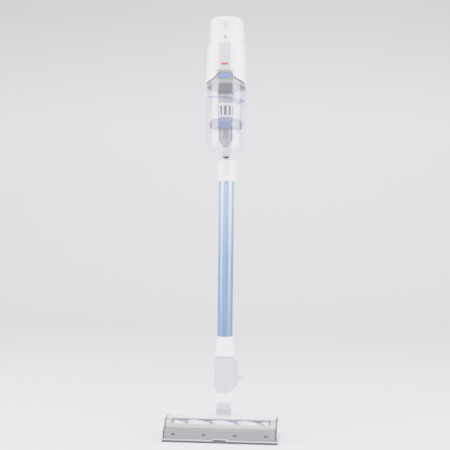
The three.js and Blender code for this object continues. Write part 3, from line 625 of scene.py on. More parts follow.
window_frame = prism(
    "x", chamber(CHAMBER_OUT, 141.8, 182, 40) + chamber(CHAMBER_IN, 182, 141.8, 40), -HEAD, HEAD, 0.5,
)
side_rim = chamber(CHAMBER_OUT, 87.2, 150, 40) + chamber(CHAMBER_IN, 150, 87.2, 40)
window_frame = together(window_frame, prism("x", side_rim, -HEAD, -117, 0.5), prism("x", side_rim, 117, HEAD, 0.5))
stand_in(window_frame, "window_frame", "floor_head", silver)
pane = chamber(CHAMBER_OUT - 0.3, 87, 141.2, 40) + chamber(CHAMBER_IN + 0.2, 141.2, 87, 40)
stand_in(prism("x", pane, -116.6, 116.6, 0.3), "brush_window", "floor_head", clear_window)

LAMP_X = (-108, -36, 36, 108)
LAMP_Z = 19.5
outline = fillet(
    [(-123, 9.4), (-122.6, 27), (-120, 30.4), (-104.6, 31.6), (-102.2, 20), (-102.2, 12), (-106, 9.4)], 1.6,
)
bumper = prism("x", outline, -HEAD, HEAD, 0.9)
for x in LAMP_X:
    bumper = cut(bumper, prism("y", rounded(x - 4.6, x + 4.6, LAMP_Z - 2.7, LAMP_Z + 2.7, 2.6), -125, -100, 0))
bumper = cut(bumper, prism("y", rounded(-18.4, 18.4, -4, 12.2, 2.5), -125, -119, 0))
bumper = cut(bumper, prism("y", rounded(-121, 121, 27.4, 28.1, 0.3, 2), -125, -120.8, 0))
stand_in(bumper, "front_bumper", "floor_head", grey)
lamps = [prism("y", rounded(x - 4, x + 4, LAMP_Z - 2.1, LAMP_Z + 2.1, 2), -121.6, -103, 0.6) for x in LAMP_X]
stand_in(together(*lamps), "head_lamps", "floor_head", lamp_lens)
dots = [rod(1.0, -122.2, -121, x + 2.2, LAMP_Z, "y", 32, 0.35) for x in LAMP_X]
part(together(*dots), "head_lamp_chips", "floor_head", lamp_dot)
felt_strip = together(
    block(-135, 135, -123.4, -112.4, 0, 5.05, 0.9, 2), block(-13.4, 13.4, -123.2, -120, 4, 8.7, 0.3, 1),
)
part(felt_strip, "front_felt_fine", "floor_head", felt, ["front_felt_strip"])

SIDE = [(-123, 9.4, 1.5), (-122.4, 27.5, 2), (-106, 34, 3)] + [(*p, 0) for p in chamber(CHAMBER_OUT, 158, 90, 24)]
SIDE += [(-40, 49.4, 3), (-29, 48.2, 5), (BACK, 42.5, 5), (BACK, 6.4, 1.5)]
CAP_HOLE = [(*p, 0) for p in chamber(CHAMBER_IN - 0.2, -49.3, 229.3, 96)]
FOOT = [(-107.6, 6.4, 0.3), (-107.6, 9.4, 0.3)]
for name, side, hole in (("left", -1, []), ("right", 1, CAP_HOLE)):
    x0, x1 = sorted((133 * side, (HEAD + 0.35) * side))
    plate = prism("x", fillet(SIDE + hole + FOOT, 1), x0, x1, 0.7)
    stand_in(plate, f"side_plate_{name}", "floor_head", dark)


# ---------- brush ----------
PITCH = 118
PHASE = 0.05
HALF = 113
GROOVE_R, LOBE_RISE = 14.5, 6.3


def roller():
    """Two padded lobes that wind round the core, with a groove between them for each bristle strip."""

    def skin(u, v):
        x = (2 * u - 1) * HALF
        turn = v * TAU
        from_groove = math.degrees(abs((turn + math.pi / 2) % math.pi - math.pi / 2))
        rise = math.sin(math.radians(min(90, max(0, from_groove - 7) * 1.08))) ** 0.7
        round_end = min(1, (HALF - abs(x)) / 4)
        r = GROOVE_R + LOBE_RISE * rise * (1 - (1 - round_end) ** 2)
        r += 0.12 * math.sin(x * 5.3 + turn * 31) * math.sin(x * 3.1 - turn * 23)
        a = PHASE + TAU * x / PITCH + turn
        return (x, BRUSH_Y + r * math.cos(a), BRUSH_Z + r * math.sin(a))

    rows, around = 300, 160
    verts = [skin(k / rows, i / around) for k in range(rows + 1) for i in range(around)]
    faces = ring_faces(rows + 1, around)
    return from_data(verts, faces)


def bristles(start, width, rows, count):
    """Rows of tapered tufts that stand in a helical groove."""
    verts, faces = [], []
    for row in range(rows):
        across = (row / max(1, rows - 1) - 0.5) * width
        for i in range(count):
            x = ((i + 0.5 * (row % 2)) / count * 2 - 1) * (HALF - 3.5)
            a = start + TAU * x / PITCH
            out = Vector((0, math.cos(a), math.sin(a)))
            along = Vector((0, -math.sin(a), math.cos(a)))
            lean = 0.5 * math.sin(i * 12.9 + row * 7.7)
            foot = Vector((x, BRUSH_Y, BRUSH_Z)) + out * 14.9 + along * across
            reach = 21.6 - 0.35 * abs(math.sin(i * 3.7 + row))
            tip = Vector((x + lean, BRUSH_Y, BRUSH_Z)) + out * reach + along * across * 1.25
            base = len(verts)
            for middle, r in ((foot, 0.62), (foot.lerp(tip, 0.6), 0.74), (tip, 0.35)):
                for k in range(6):
                    t = TAU * k / 6
                    verts.append(tuple(middle + Vector((1, 0, 0)) * r * math.cos(t) + along * r * math.sin(t)))
            faces += [tuple(base + i for i in face) for face in ring_faces(3, 6)]
    mesh = bpy.data.meshes.new("shape")
    mesh.from_pydata([tuple(c * MM for c in v) for v in verts], [], faces)
    return clean(link(mesh), merge=False)


# painted shade: a dark sheet round the back and top of the brush chamber, where the chamber lies in shade behind
# the roller
painted_shade_sheet = chamber(CHAMBER_IN - 0.1, -20, 84, 40) + chamber(CHAMBER_IN - 0.8, 84, -20, 40)
part(prism("x", painted_shade_sheet, -116.5, 116.5, 0.2), "chamber_painted_shade_sheet", "floor_head", dark)
part(
    add(roller(), rod(5, 112, 118, BRUSH_Y, BRUSH_Z, "x", 32)), "brush_roller", "brush", nap, ["brush_core"],
    60,
)
part(bristles(PHASE, 4.4, 4, 170), "blue_bristle_strip", "brush", blue_hair, ["bristle_strip_blue"])
part(
    bristles(PHASE + math.pi, 2.2, 3, 170), "grey_bristle_strip", "brush", dark_hair, ["bristle_strip_grey"],
)

cap = lathe(
    [
        (0, 119), (8, 119), (8, 122.5), (22.6, 122.5), (22.6, 134, 1.2), (19, 134, 0.6), (17.6, 131.5, 0.8),
        (0, 131.5),
    ],
    0, BRUSH_Y, 96, 0.4, "x", BRUSH_Z,
)
cap = cut(cap, rod(5.4, 117, 120.4, BRUSH_Y, BRUSH_Z, "x", 32))
finger = prism("z", rounded(131, 136.5, BRUSH_Y - 14, BRUSH_Y + 14, 2), BRUSH_Z - 3, BRUSH_Z + 3, 1.2)
stand_in(add(cap, finger), "brush_end_cap", "brush_cap", white)


# ---------- wheels and pivot ----------
AXLE_Y, AXLE_Z = 26, 16
PIVOT_Y, PIVOT_Z = 6, 30
for name, side in (("left", -1), ("right", 1)):
    rim = [
        (25.4, 0), (25.4, 3), (37, 3), (37, 14.4), (38.6, 16), (48.4, 16), (50, 14.4), (50, 12), (47.6, 11),
        (47.6, 6.4), (50.6, 5.4), (50.6, 0),
    ]
    wheel = lathe([(r, x * side) for x, r in rim], 0, AXLE_Y, 96, 0.5, "x", AXLE_Z)
    stand_in(wheel, f"rear_wheel_{name}", f"wheel_{name}", tread)
    pin = [
        (15, 0, 0), (15, 6, 0.4), (24.2, 6, 0), (24.2, 8, 0.3), (36.2, 8, 0.4), (37, 6.6, 0.4), (36.2, 5, 0.4),
        (36.2, 0, 0),
    ]
    pin = lathe([(r, x * side, e) for x, r, e in pin], 0, PIVOT_Y, 64, 0.3, "x", PIVOT_Z)
    stand_in(pin, f"pivot_pin_{name}", "floor_head", dark)

drum = lathe([(6.3, -23.5), (21, -23.5, 1.5), (21, 23.5, 1.5), (6.3, 23.5)], 0, PIVOT_Y, 128, 0.4, "x", PIVOT_Z)
stalk = prism("z", [rounded(-23.5, 23.5, -14, 22, 7), circle(0, 0, 13.5)], 38, 68, 1.2)
stalk = cut(stalk, prism("y", [rounded(-16, 16, 44, 64, 3), rounded(-15.4, 15.4, 44.6, 63.4, 2.6)], -16, -13.4, 0))
crown = lathe(
    [(13.5, 60), (20.8, 60), (20.8, 74, 1), (17.5, 74, 0.3), (17.5, 90), (13.5, 90)], sides=128, radius=0.6,
)
yoke = together(drum, stalk, crown)
for face in yoke.data.polygons:
    x, y, z = face.center / MM
    face.material_index = int(y < -13 and abs(x) < 17.5 and 41 < z < 73.9)
stand_in(yoke, "pivot_yoke", "yoke", [white, pale])


# ---------- neck ----------
NECK_R = 24
socket = lathe(
    [
        (17.9, 78), (24.9, 78), (25.4, 81), (25.4, 100.4, 0.4), (24, 101, 0.3), (24, 185.5), (23, 187),
        (17.2, 187), (17.2, 97, 0.2), (17.9, 97, 0.2),
    ],
    sides=128, radius=0.8,
)
socket = cut(socket, prism("y", rounded(-8, 8, 152, 172, 3), 5, 40, 0))
stand_in(socket, "neck_socket", "neck", white)


def neck_cover(r, edge):
    def at(u, v):
        a = (u - 0.5) * math.radians(146)
        x = 25.9 * math.sin(a)
        low = 101.9 + 6.2 * (x / 26) ** 2
        z = low + v * (185.8 - low)
        near = min(u * 66, (1 - u) * 66, v * 84, (1 - v) * 84)
        soft = min(1, near / 1.6)
        rr = NECK_R + 0.35 + (r - NECK_R - 0.35) * (edge + (1 - edge) * math.sqrt(1 - (1 - soft) ** 2))
        return (rr * math.sin(a), -rr * math.cos(a), z)

    return at


cover = shell(140, 150, neck_cover(25.85, 0.25), neck_cover(NECK_R + 0.36, 1))
stand_in(cover, "neck_front_cover", "neck", pale, 50)
button = prism("y", rounded(-7.5, 7.5, 152.5, 171.5, 3), 18.2, 26.9, 1)
for z in (158, 162, 166):
    button = add(button, prism("y", rounded(-5, 5, z - 0.6, z + 0.6, 0.5), 26, 27, 0.3))
stand_in(button, "head_release_button", "head_release", grey)
outline = fillet(
    [(26.35, 115.5, 1), (30.2, 112.5, 2), (32, 117, 3), (32, 176, 3), (30.2, 179.6, 2), (26.35, 177, 1)], 2,
)
holder = prism("y", outline, -9, 9, 1.5)
peg = prism(
    "y",
    fillet([(30, 126, 0), (45.2, 139.6, 1.2), (45.9, 142.4, 1), (42, 141.6, 3), (36, 140, 3), (30, 140, 0)], 1),
    -3.8, 3.8, 1.1,
)
# the tool holder is white plastic; its pale grey colour here is painted shade
stand_in(add(holder, peg), "tool_holder", "neck", pale)


# ---------- wand ----------
WAND_R = 18.75
tube_walls = lathe([(WAND_R, 236), (WAND_R, 652), (WAND_R - 1.6, 652), (WAND_R - 1.6, 236)], sides=160, radius=0.5)
groove = prism("z", circle(0, -WAND_R - 0.75, 1.5, 24), 262, 606, 0.4)
stand_in(cut(tube_walls, groove), "wand_tube", "wand", anodised, 40)
collar = lathe(
    [
        (14.5, 150), (16.8, 150), (16.8, 188.6, 0), (
            25.2, 188.6, 0.5,
        ), (25.6, 190.5, 1), (21.2, 214, 8), (20.4, 218, 1),
        (20.0, 219, 0.4), (19.7, 235.65, 0.5), (16.6, 235.65, 0.2), (16.6, 248, 0.4), (14.5, 248, 0.4),
    ],
    sides=128, radius=0.5,
)
stand_in(collar, "wand_lower_collar", "wand", white)
gasket = lathe([(17.2, 187.3), (24.6, 187.3), (24.6, 188.3), (17.2, 188.3)], sides=128, radius=0.3)
stand_in(gasket, "collar_gasket", "wand", slate)


# ---------- duct behind the bin ----------
BIN_Y = -34
BIN_R = 48.5
DUCT_Y = 34.5

collar = lathe(
    [
        (0, 662, 0), (15, 662), (15, 653), (19.2, 653), (19.2, 614), (23.6, 614), (24.5, 616, 1), (24.5, 658, 4),
        (22.6, 665, 3), (18, 667.8, 2), (0, 668, 0),
    ],
    sides=128, radius=0.4,
)
collar = cut(collar, prism("y", rounded(-9.4, 9.4, 631.1, 664.5, 2.4), -30, -19.6, 0))
bend = [((0, 0, 655), (0, 0, 640), (0, 0, 680)), ((0, DUCT_Y, 704), (0, DUCT_Y, 672), (0, DUCT_Y, 736))]
bin_room = cut(rod(BIN_R + 0.9, 660, 850, 0, BIN_Y, "z", 192, 0), block(-40, 40, -90, 20, 650, 671.5, 0, 0))
elbow = cut(tube(bend, 17.5, 64, 24), bin_room)
column = rod(17.5, 703, 820, 0, DUCT_Y, "z", 96, 1.5)
nozzle = prism("y", [rounded(-14, 14, 784, 818, 2), rounded(-11.5, 11.5, 787, 815, 1)], 8, 30, 0.4)
nozzle = cut(nozzle, rod(BIN_R + 0.8, 780, 822, 0, BIN_Y, "z", 192, 0))
duct = together(collar, elbow, column, nozzle)
stand_in(duct, "inlet_duct", "handheld", white)
button = together(
    prism("y", rounded(-9, 9, 631.6, 664, 2.5), -24.95, -22.4, 0.4),
    prism("y", [rounded(-9, 9, 631.6, 664, 2.5), rounded(-7.6, 7.6, 633, 662.6, 1.6)], -25.15, -24.6, 0.2),
    prism("y", rounded(-6, 6, 635, 636.2, 0.5), -25.15, -24.8, 0.1),
)
stand_in(button, "wand_release_button", "wand_release", cream)
seat = prism("z", rounded(-7.5, 7.5, -23.5, -16.5, 2), 668.4, 672.4, 0.8)
stand_in(seat, "hook_seat", "handheld", black)
dock = together(block(-14, 14, 52.4, 53.4, 742, 825.4, 0.1, 0.3), block(-14, 14, 36, 53.4, 820.6, 825.4, 0.8, 1.5))
stand_in(dock, "battery_dock", "handheld", white)


# ---------- dust bin and cyclone ----------
BIN_BOTTOM, BIN_TOP = 682, 838
WALL = 2.2
TONGUE = [
    (-47, 837, 0), (-45, 843, 4), (-41, 847, 4), (-31, 851, 5), (-21, 858, 5), (-14, 870, 4),
    (14, 870, 4), (21, 858, 5), (31, 851, 5), (41, 847, 4), (45, 843, 4), (47, 837, 0),
]
TONGUE_LINE = fillet(TONGUE, 3, closed=False)


def tongue_top(a):
    """How high the bin's wall reaches at an angle about the bin's axis."""
    x = BIN_R * math.cos(a)
    if math.sin(a) > 0 or abs(x) >= 46.9:
        return BIN_TOP
    for (x0, z0), (x1, z1) in zip(TONGUE_LINE, TONGUE_LINE[1:]):
        if x0 <= x <= x1:
            return max(BIN_TOP, z0 + (z1 - z0) * (x - x0) / (x1 - x0 + 1e-9))
    return BIN_TOP


def dust_cup():
    foot = fillet(
        [(33, BIN_BOTTOM, 6), (41, 684.5, 6), (46, 690, 6), (48.5, 698, 6), (48.5, 720, 0)], 6, closed=False,
    )
    inner_foot = fillet(
        [(46.3, 720, 0), (46.3, 698.5, 6), (44, 692, 6), (40, 687, 6), (33, 684.6, 6)], 6, closed=False,
    )
    rows = 34
    outer = [(0, BIN_BOTTOM)] + foot + [(BIN_R, None, k / rows) for k in range(1, rows)]
    rim = [
        (BIN_R, None, 1.0), (BIN_R - 0.35, None, 1.01), (BIN_R - WALL + 0.35, None, 1.01),
        (BIN_R - WALL, None, 1.0),
    ]
    inner = [(BIN_R - WALL, None, 1 - k / rows) for k in range(1, rows)] + inner_foot + [(0, 684.6)]
    profile = outer + rim + inner
    sides = 360
    verts = []
    for i in range(sides):
        a = TAU * i / sides
        top = tongue_top(a)
        for p in profile:
            z = p[1] if p[1] is not None else (720 + (top - 0.5 - 720) * p[2] if p[2] <= 1 else top)
            verts.append((p[0] * math.cos(a), BIN_Y + p[0] * math.sin(a), z))
    n = len(profile)
    faces = []
    painted_shade_faces = set()
    for i in range(sides):
        front = math.sin(TAU * (i + 0.5) / sides) < 0
        for k in range(n):
            if k == n - 1:
                continue
            a, b = i * n + k, i * n + k + 1
            c, d = ((i + 1) % sides) * n + k + 1, ((i + 1) % sides) * n + k
            if front and len(outer) - 2 <= k <= len(outer) + len(rim) - 1:
                painted_shade_faces.add(len(faces))
            faces.append((a, b, c, d))
    mesh = bpy.data.meshes.new("shape")
    mesh.from_pydata([tuple(q * MM for q in v) for v in verts], [], faces)
    # the faces along the front top rim get the grey rim plastic, as painted shade
    for i in painted_shade_faces:
        mesh.polygons[i].material_index = 1
    return clean(link(mesh))


cup = dust_cup()
lug = add(rod(5, -9, 9, -17, 678, "x", 48, 1), prism("z", rounded(-9, 9, -22, -12, 2), 678, 682.6, 0.3))
cup = cut(cup, block(-12, 12, 0, 30, 787, 815, 0, 2))
stand_in(cup, "dust_cup", "bin", [clear, rim_painted_shade], 40)
part(lug, "dust_cup_lug", "bin", pale)
oval = lathe([(11.6, 0), (12.6, 0), (12.6, 0.7), (11.6, 0.7)], sides=96, radius=0.3)
oval_place = Matrix.Translation((0, (BIN_Y - 44.6) * MM, 695 * MM)) @ Matrix.Rotation(math.radians(62), 4, "X")
oval.data.transform(oval_place @ Matrix.Diagonal((1, 0.62, 1, 1)))
part(oval, "dust_cup_mark", "bin", clear_cone)

frame_outline = fillet([(-18.5, 851), (18.5, 851), (14, 872), (-14, 872)], 2.5)
latch = prism("y", [frame_outline, rounded(-11.6, 11.6, 853, 865, 2.2)], -88.4, -84.3, 0.8)
stand_in(latch, "bin_latch_frame", "bin", grey)
button = prism("y", rounded(-11.1, 11.1, 853.5, 864.5, 2), -89.9, -86.7, 0.8)
for x in (-7, 0, 7):
    button = cut(button, prism("y", rounded(x - 1.6, x + 1.6, 854.6, 855.6, 0.4, 3), -91, -89.4, 0))
stand_in(button, "bin_release_button", "bin_release", button_blue)

INSIDE = BIN_R - WALL - 0.5
lid = lathe(
    [(0, 820.4), (20, 820.4, 0.6), (24.6, 829, 0.8), (24.6, 831.8, 0.6),
     (INSIDE, 831.8, 0.6), (INSIDE, 833.4, 0.3), (INSIDE - 0.9, 833.9, 0.3),
     (INSIDE - 0.9, 835.1, 0.3), (INSIDE, 835.6, 0.3), (INSIDE, 837.6, 0.6), (0, 837.6)],
    0, BIN_Y, 160, 0.4,
)
stand_in(lid, "cyclone_lid", "bin", [slate])


def ramp():
    """A blade that winds down round the core."""

    def point(side):
        def at(u, v):
            a = math.pi * (1.35 - 1.85 * u)
            r = 19.8 + v * (INSIDE - 2 - 19.8)
            z = 817.4 - 18 * u + side * (2.4 - 0.8 * v)
            return (r * math.cos(a), BIN_Y - r * math.sin(a), z)

        return at

    return shell(180, 20, point(1), point(0))


core = lathe([(0, 799), (19.6, 799), (19.6, 806), (20.6, 807), (20.6, 820), (0, 820)], 0, BIN_Y, 128, 0.4)
part(core, "ramp_core", "bin", silver)
stand_in(ramp(), "spiral_ramp", "bin", blue, 50)

cage = lathe(
    [
        (18.4, 765), (20.8, 765), (20.8, 795), (21.6, 796, 1), (25, 796.6), (25, 798.2), (18.4, 798.4),
    ], 0, BIN_Y, 160, 0.35,
)
for i in range(12):
    slot = block(16, 24, -3.7, 3.7, 769, 793, 0.4, 1.6)
    slot.data.transform(Matrix.Translation((0, BIN_Y * MM, 0)) @ Matrix.Rotation(TAU * i / 12, 4, "Z"))
    cage = cut(cage, slot)
stand_in(cage, "mesh_cage", "bin", white)
sleeve = lathe([(16.6, 765), (18, 765), (18, 798), (16.6, 798)], 0, BIN_Y, 128, 0.2)
stand_in(sleeve, "mesh_screen", "bin", screen)
skirt = lathe(
    [(17.4, 764.3), (24, 763.5, 3), (35.5, 759.6, 4), (39.4, 753, 4), (39.4, 740.6, 1),
     (38, 737.6, 1), (36.9, 741, 1), (36.9, 752, 3), (33.5, 757, 3),
     (23, 760.7, 3), (17.4, 760.7)],
    0, BIN_Y, 160, 0.6,
)
stand_in(skirt, "cyclone_skirt", "bin", blue)
cone = lathe(
    [(0, 698.5), (9.6, 698.5, 1), (12, 703, 2), (16.1, 709, 3), (16.8, 716, 3), (16.8, 764, 0.3),
     (15.4, 764, 0.3), (15.4, 716, 3), (14.7, 710, 3),
     (10.8, 705, 2), (8, 700.7, 0.5), (0, 700.7)],
    0, BIN_Y, 128, 0.5,
)
for i in range(12):
    rib = prism("z", rounded(-0.5, 0.5, -0.6, 0.6, 0.3, 3), 712, 762, 0.2)
    a = TAU * i / 12
    foot = (16.8 * math.cos(a) * MM, (BIN_Y + 16.8 * math.sin(a)) * MM, 0)
    rib.data.transform(Matrix.Translation(foot) @ Matrix.Rotation(a, 4, "Z"))
    cone = together(cone, rib)
stand_in(cone, "fine_dust_cone", "bin", clear_cone)
stand_in(rod(9, 694.6, 698, 0, BIN_Y, "z", 96, 1), "dust_cone_cap", "bin", black)


# ---------- motor housing ----------
HOUSING_BOTTOM = 842
LEVELS = [
    (HOUSING_BOTTOM, 45.5, -81, 31), (880, 45.5, -80, 31), (910, 44, -79, 31), (945, 42, -77, 31),
    (988, 40, -74, 31),
]
TOP = 1003
CROWN = 13
POWER = 0.66
FLAT_BACK = 30.7


def section(z):
    """Half width, front and back of the housing at a height."""
    z = min(max(z, LEVELS[0][0]), LEVELS[-1][0])
    for low, high in zip(LEVELS, LEVELS[1:]):
        if z <= high[0]:
            t = (z - low[0]) / (high[0] - low[0])
            t = t * 0.6 + 0.4 * t * t * (3 - 2 * t)
            return [low[i] + (high[i] - low[i]) * t for i in (1, 2, 3)]


def front_y(x, z, grow=0.0):
    """The housing's front surface, grown outwards."""
    half, front, rear = section(z)
    a, b, middle = half + grow, (rear - front) / 2 + grow, (rear + front) / 2
    share = min(1, abs(x) / a) ** (1 / POWER)
    return middle - b * math.sqrt(max(0, 1 - share * share)) ** POWER


def ring(z, grow, inset, sides):
    half, front, rear = section(z)
    a, b, middle = half + grow - inset, (rear - front) / 2 + grow - inset, (rear + front) / 2
    out = []
    for i in range(sides):
        t = TAU * i / sides
        c, s = math.cos(t), math.sin(t)
        out.append((a * math.copysign(abs(c) ** POWER, c), middle + b * math.copysign(abs(s) ** POWER, s)))
    return out


def housing_skin(grow, bottom, top=TOP - CROWN, sides=192, crown=True):
    levels = [bottom + (top - bottom) * k / 40 for k in range(41)]
    rings = [[(x, y, z) for x, y in ring(z, grow, 0, sides)] for z in levels]
    r = CROWN + grow
    for k in range(1, 13 if crown else 1):
        a = math.pi / 2 * k / 12
        inset = r * (1 - math.cos(a))
        rings.append([(x, y, top + r * math.sin(a)) for x, y in ring(top, grow, inset, sides)])
    verts = [v for level in rings for v in level]
    return from_data(verts, ring_faces(len(rings), sides))


def tongue_cutter(y0, y1, grow=1.6):
    points = fillet([(x * 1.03, z + grow, r) for x, z, r in TONGUE] + [(60, 820, 0), (-60, 820, 0)], 3)
    return prism("y", points, y0, y1, 0)


housing = cut(housing_skin(0, HOUSING_BOTTOM), housing_skin(-2.6, HOUSING_BOTTOM - 1))
housing = cut(housing, block(-60, 60, FLAT_BACK, 70, 830, 1030, 0, 0))
back_wall = common(
    block(-30.4, 30.4, FLAT_BACK - 2.5, FLAT_BACK, HOUSING_BOTTOM, 988, 0, 0), housing_skin(0, HOUSING_BOTTOM),
)
housing = add(housing, back_wall)
room = common(tongue_cutter(-100, -40), rod(BIN_R + 0.8, 815, 878, 0, BIN_Y, "z", 192, 0))
housing = cut(housing, room, tongue_cutter(-100, -60), prism("y", rounded(-8.4, 8.4, 963.5, 991, 2), -90, -60, 0))
for i in range(3):
    for x0, x1 in ((-60, -30), (30, 60)):
        housing = cut(housing, prism("x", rounded(-20, 16, 908 + i * 10, 913 + i * 10, 2.4), x0, x1, 0))
stand_in(housing, "motor_housing", "handheld", white, 28)


def cowl():
    """A shell over the housing's front, proud at its rounded top edge and flush lower down."""
    columns, rows = 200, 90

    def at(low_grow, high_grow):
        def point(u, v):
            z = 845 + v * (939 - 845)
            half, front, rear = section(z)
            t = math.pi * (1.03 + 0.94 * u)
            near = min(u * 170, (1 - u) * 170, v * 90, (1 - v) * 90)
            soft = min(1, near / 2.6)
            g = low_grow + (high_grow - low_grow) * math.sqrt(max(0, 1 - (1 - soft) ** 2))
            a, b, middle = half + g, (rear - front) / 2 + g, (rear + front) / 2
            c, s = math.cos(t), math.sin(t)
            corner = 9 * (1 - min(1, min(u, 1 - u) * 170 / 14)) ** 2
            return (
                a * math.copysign(abs(c) ** POWER, c), min(-27, middle + b * math.copysign(abs(s) ** POWER, s)),
                z - corner * v * v,
            )

        return point

    return shell(columns, rows, at(0.9, 3.2), at(0.4, 0.4))


front = cut(cowl(), tongue_cutter(-120, -40), prism("y", rounded(-19.5, 19.5, 830, 873.5, 2), -120, -40, 0))
stand_in(front, "front_cowl", "handheld", white, 40)


def on_front(plate, grow):
    """Bends a flat plate, drawn with its back at y = 0, over the housing's front."""
    plate = sliced(plate, 1.5, 4)
    for v in plate.data.vertices:
        v.co.y += front_y(v.co.x / MM, v.co.z / MM, grow) * MM
    return clean(plate)


POWER_Z = 984
strip_holes = [circle(0, POWER_Z, 6.85), rounded(-6.4, 6.4, 965.6, 977.2, 2), rounded(-1.9, 1.9, 947.6, 956.4, 1.5)]
strip = prism("y", [rounded(-10.5, 10.5, 941, 991.5, 5)] + strip_holes, -1.1, 0, 0.14)
stand_in(on_front(strip, 0.35), "display_strip", "handheld", cream, 40)
power = rod(6.5, -76.9, -67, 0, POWER_Z, "y", 96, 0.5)
stand_in(power, "power_button", "power", cream)
ring_outline = fillet(arc(0, 983.6, 4.3, 120, 420, 40) + arc(0, 983.6, 3.1, 420, 120, 40), 0.2, steps=2)
mark = together(
    prism("y", ring_outline, -77.1, -76.7, 0.08),
    prism("y", rounded(-0.6, 0.6, 984.4, 988.6, 0.3), -77.1, -76.7, 0.08),
)
part(mark, "power_mark", "power", dark)
mode = prism("y", rounded(-6, 6, 966, 976.8, 2), -77.7, -68, 0.5)
stand_in(mode, "mode_button", "mode", cream)
part(
    prism("y", [circle(0, 971.4, 3.2), circle(0, 971.4, 2.2)], -77.9, -77.5, 0.08), "mode_mark", "mode", dark,
)
lamp = on_front(prism("y", rounded(-1.6, 1.6, 948, 956, 1.5), -1.2, 0, 0.4), 0.35)
stand_in(lamp, "charge_lamp", "handheld", dark)


def panel():
    """The inset panel: raised diamonds over its upper part, plain below."""

    def at(lift):
        def point(u, v):
            x = (u - 0.5) * 27
            z = 875 + v * 62.5
            near = min(u * 27, (1 - u) * 27, v * 62.5, (1 - v) * 62.5)
            soft = min(1, near / 0.8)
            weave = abs(math.sin((x + z) * math.pi / 2.6)) * abs(math.sin((x - z) * math.pi / 2.6))
            ridged = min(1, max(0, (z - 899) / 1.5)) * min(1, near / 2)
            g = 3.6 + lift * (0.3 + 0.35 * math.sqrt(1 - (1 - soft) ** 2) + 0.32 * ridged * weave)
            return (x, front_y(x, z, g), z)

        return point

    return shell(90, 190, at(1), at(0))


stand_in(panel(), "intake_panel", "handheld", pale, 60)
badge = on_front(prism("y", rounded(-9, 9, 884, 890, 2.8), -0.8, 0, 0.3), 3.6 + 0.62)
part(badge, "front_badge", "handheld", badge_red)
carrier = lathe([(36, 844), (41.4, 844), (41.4, 866, 3), (22, 880, 2), (19, 880), (36, 864, 2)], 0, BIN_Y, 128, 0.5)
carrier = common(carrier, housing_skin(-3.1, 843))
carrier = cut(carrier, block(-50, 50, 8, 40, 830, 900, 0, 0))
stand_in(carrier, "filter_carrier", "handheld", silver)
stand_in(rod(35.3, 844, 861, 0, BIN_Y, "z", 96, 1.2), "premotor_filter", "handheld", foam_white)


# ---------- handle and battery ----------
FRONT, BACK_Y, LOOP_LOW, LOOP_HIGH = 31.6, 124, 826, 990
outer = fillet(
    [
        (FRONT, LOOP_LOW, 2), (BACK_Y - 3.5, LOOP_LOW, 9), (BACK_Y - 6.5, 880, 40), (BACK_Y, 950, 30),
        (BACK_Y, LOOP_HIGH, 36), (FRONT, LOOP_HIGH, 2),
    ], 6, steps=14,
)
inner = fillet(
    [
        (FRONT + 14, 850, 11), (FRONT + 14, 968, 11), (BACK_Y - 30, 968, 14), (BACK_Y - 30, 950, 20),
        (BACK_Y - 35, 880, 40), (BACK_Y - 35, 850, 11),
    ], 6, steps=12,
)
loop = prism("x", [outer, inner], -16, 16, 7.5, 7)
loop = cut(loop, prism("x", rounded(BACK_Y - 48, BACK_Y - 13, 917, 966, 2.5), -8.5, 8.5, 0))
stand_in(loop, "handle_loop", "handheld", white, 24)
lever = prism(
    "x",
    fillet(
        [(99.5, 963, 1.5), (88.5, 946, 12), (87.2, 925, 3), (95, 920.3, 3), (106, 924, 1.5), (106, 963, 1.5)], 2,
        steps=8,
    ),
    -7.8, 7.8, 1.6,
)
stand_in(lever, "trigger", "trigger_lever", button_blue)

case = prism("z", rounded(-27, 27, 54, 108, 9, 10), 742, LOOP_LOW - 0.6, 2.4, 5)
case = cut(
    case, prism("z", rounded(-24.5, 24.5, 56.5, 105.5, 7), 745, LOOP_LOW, 0),
    prism("y", rounded(-9.5, 9.5, 799.5, 814.5, 3.2), 106.5, 110, 0),
)
for z in (760, 764, 768):
    for x0, x1 in ((-28, -26.2), (26.2, 28)):
        case = cut(case, block(x0, x1, 66, 96, z - 0.8, z + 0.8, 0, 0))
stand_in(case, "battery_case", "battery", pale)
latch = prism("y", rounded(-9, 9, 800, 814, 3), 108, 111.8, 1)
for z in (804, 807, 810):
    latch = cut(latch, prism("y", rounded(-6, 6, z - 0.5, z + 0.5, 0.4, 3), 111.3, 113, 0))
stand_in(latch, "battery_latch", "battery_release", grey)


# ---------- pieces shown as the CAD has them, inside the shells ----------
HIDDEN = {
    "brush_motor": steel, "motor_pulley": dark, "brush_pulley": dark, "drive_belt": black,
    "fan": dark, "suction_motor": steel, "circuit_board": board, "battery_cells": cell_wrap,
}
for name, look in HIDDEN.items():
    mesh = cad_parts[name].data
    mesh.materials.clear()
    mesh.materials.append(look)


# ---------- studio, in metres ----------
def stage_mesh(name, verts, faces, look):
    mesh = bpy.data.meshes.new(name)
    mesh.from_pydata(verts, [], faces)
    ob = link(mesh, name)
    ob.data.materials.append(look)
    ob.data.shade_smooth()
    return ob


def backdrop_with_painted_shade():
    """Plain pale paper, a little greyer high up: the grey is painted shade."""
    n = Nodes("backdrop")
    place = n.make("SeparateXYZ")
    n.join(n.where, place.inputs[0])
    # painted shade: the paper's colour turns grey with height, with a faint random mottle added
    height = n.between(place.outputs["Z"], 0.0, 1.0, 1.1, 1.9)
    painted_shade_and_mottle = n.maths("ADD", height, n.between(n.noise(0.6), -0.03, 0.03))
    base = n.colours(painted_shade_and_mottle, [(0.05, (0.94, 0.93, 0.99)), (0.95, (0.55, 0.565, 0.56))])
    return n.finish(Base_Color=base, Roughness=n.between(n.noise(3), 0.55, 0.7))


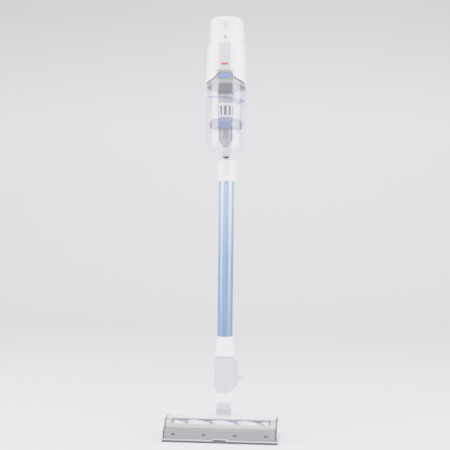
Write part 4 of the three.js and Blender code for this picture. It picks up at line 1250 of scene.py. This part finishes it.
SWEEP_Y, SWEEP_R, SWEEP_STEPS = 2.6, 1.2, 16
TURNS = [math.pi / 2 * k / SWEEP_STEPS for k in range(SWEEP_STEPS + 1)]
SWEEP = [(-8, 0)] + [(SWEEP_Y + SWEEP_R * math.sin(t), SWEEP_R * (1 - math.cos(t))) for t in TURNS] + [(3.8, 8)]
verts = [(x, y, z) for y, z in SWEEP for x in (-9, 9)]
faces = [(2 * i, 2 * i + 1, 2 * i + 3, 2 * i + 2) for i in range(len(SWEEP) - 1)]
stage_mesh("backdrop", verts, faces, backdrop_with_painted_shade())


def area_light(name, at, target, size, power, colour):
    data = bpy.data.lights.new(name, "AREA")
    data.shape = "RECTANGLE"
    data.size, data.size_y = size
    data.energy = power
    data.color = colour
    ob = bpy.data.objects.new(name, data)
    bpy.context.scene.collection.objects.link(ob)
    ob.location = at
    ob.rotation_euler = (Vector(target) - Vector(at)).to_track_quat("-Z", "Y").to_euler()
    return ob


area_light("left_softbox", (-2.15, -1.1, 1.1), (0, 0, 0.6), (1.9, 2.2), 175, (1.0, 0.86, 0.95))
area_light("right_softbox", (2.15, -1.0, 1.1), (0, 0, 0.6), (1.9, 2.2), 180, (0.86, 0.91, 1.0))
area_light("top_light", (0, -0.6, 3.0), (0, 0, 0.3), (2.4, 2.4), 190, (1.0, 0.99, 0.98))
area_light("front_fill", (0.2, -3.2, 2.9), (0, 0, 0.4), (2.6, 1.4), 90, (1.0, 0.99, 1.0))
world = bpy.data.worlds.new("studio")
bpy.context.scene.world = world
world.use_nodes = True
world.node_tree.nodes["Background"].inputs["Color"].default_value = (0.90, 0.89, 0.94, 1)
world.node_tree.nodes["Background"].inputs["Strength"].default_value = 1.5

camera = bpy.data.cameras.new("camera")
view = bpy.data.objects.new("camera", camera)
bpy.context.scene.collection.objects.link(view)
bpy.context.scene.camera = view
AZIMUTH = math.radians(5)
DISTANCE = 2.4
EYE = 0.507
ROLL = math.radians(0.6)
LENS = 78.7
SIDE_SHIFT = -0.0025
camera.lens = LENS
camera.sensor_width = 36
view.location = (DISTANCE * math.sin(AZIMUTH), -DISTANCE * math.cos(AZIMUTH), EYE)
level = Matrix.Rotation(AZIMUTH, 4, "Z") @ Matrix.Rotation(math.radians(90), 4, "X")
view.rotation_euler = (level @ Matrix.Rotation(ROLL, 4, "Z")).to_euler()
camera.shift_x = SIDE_SHIFT
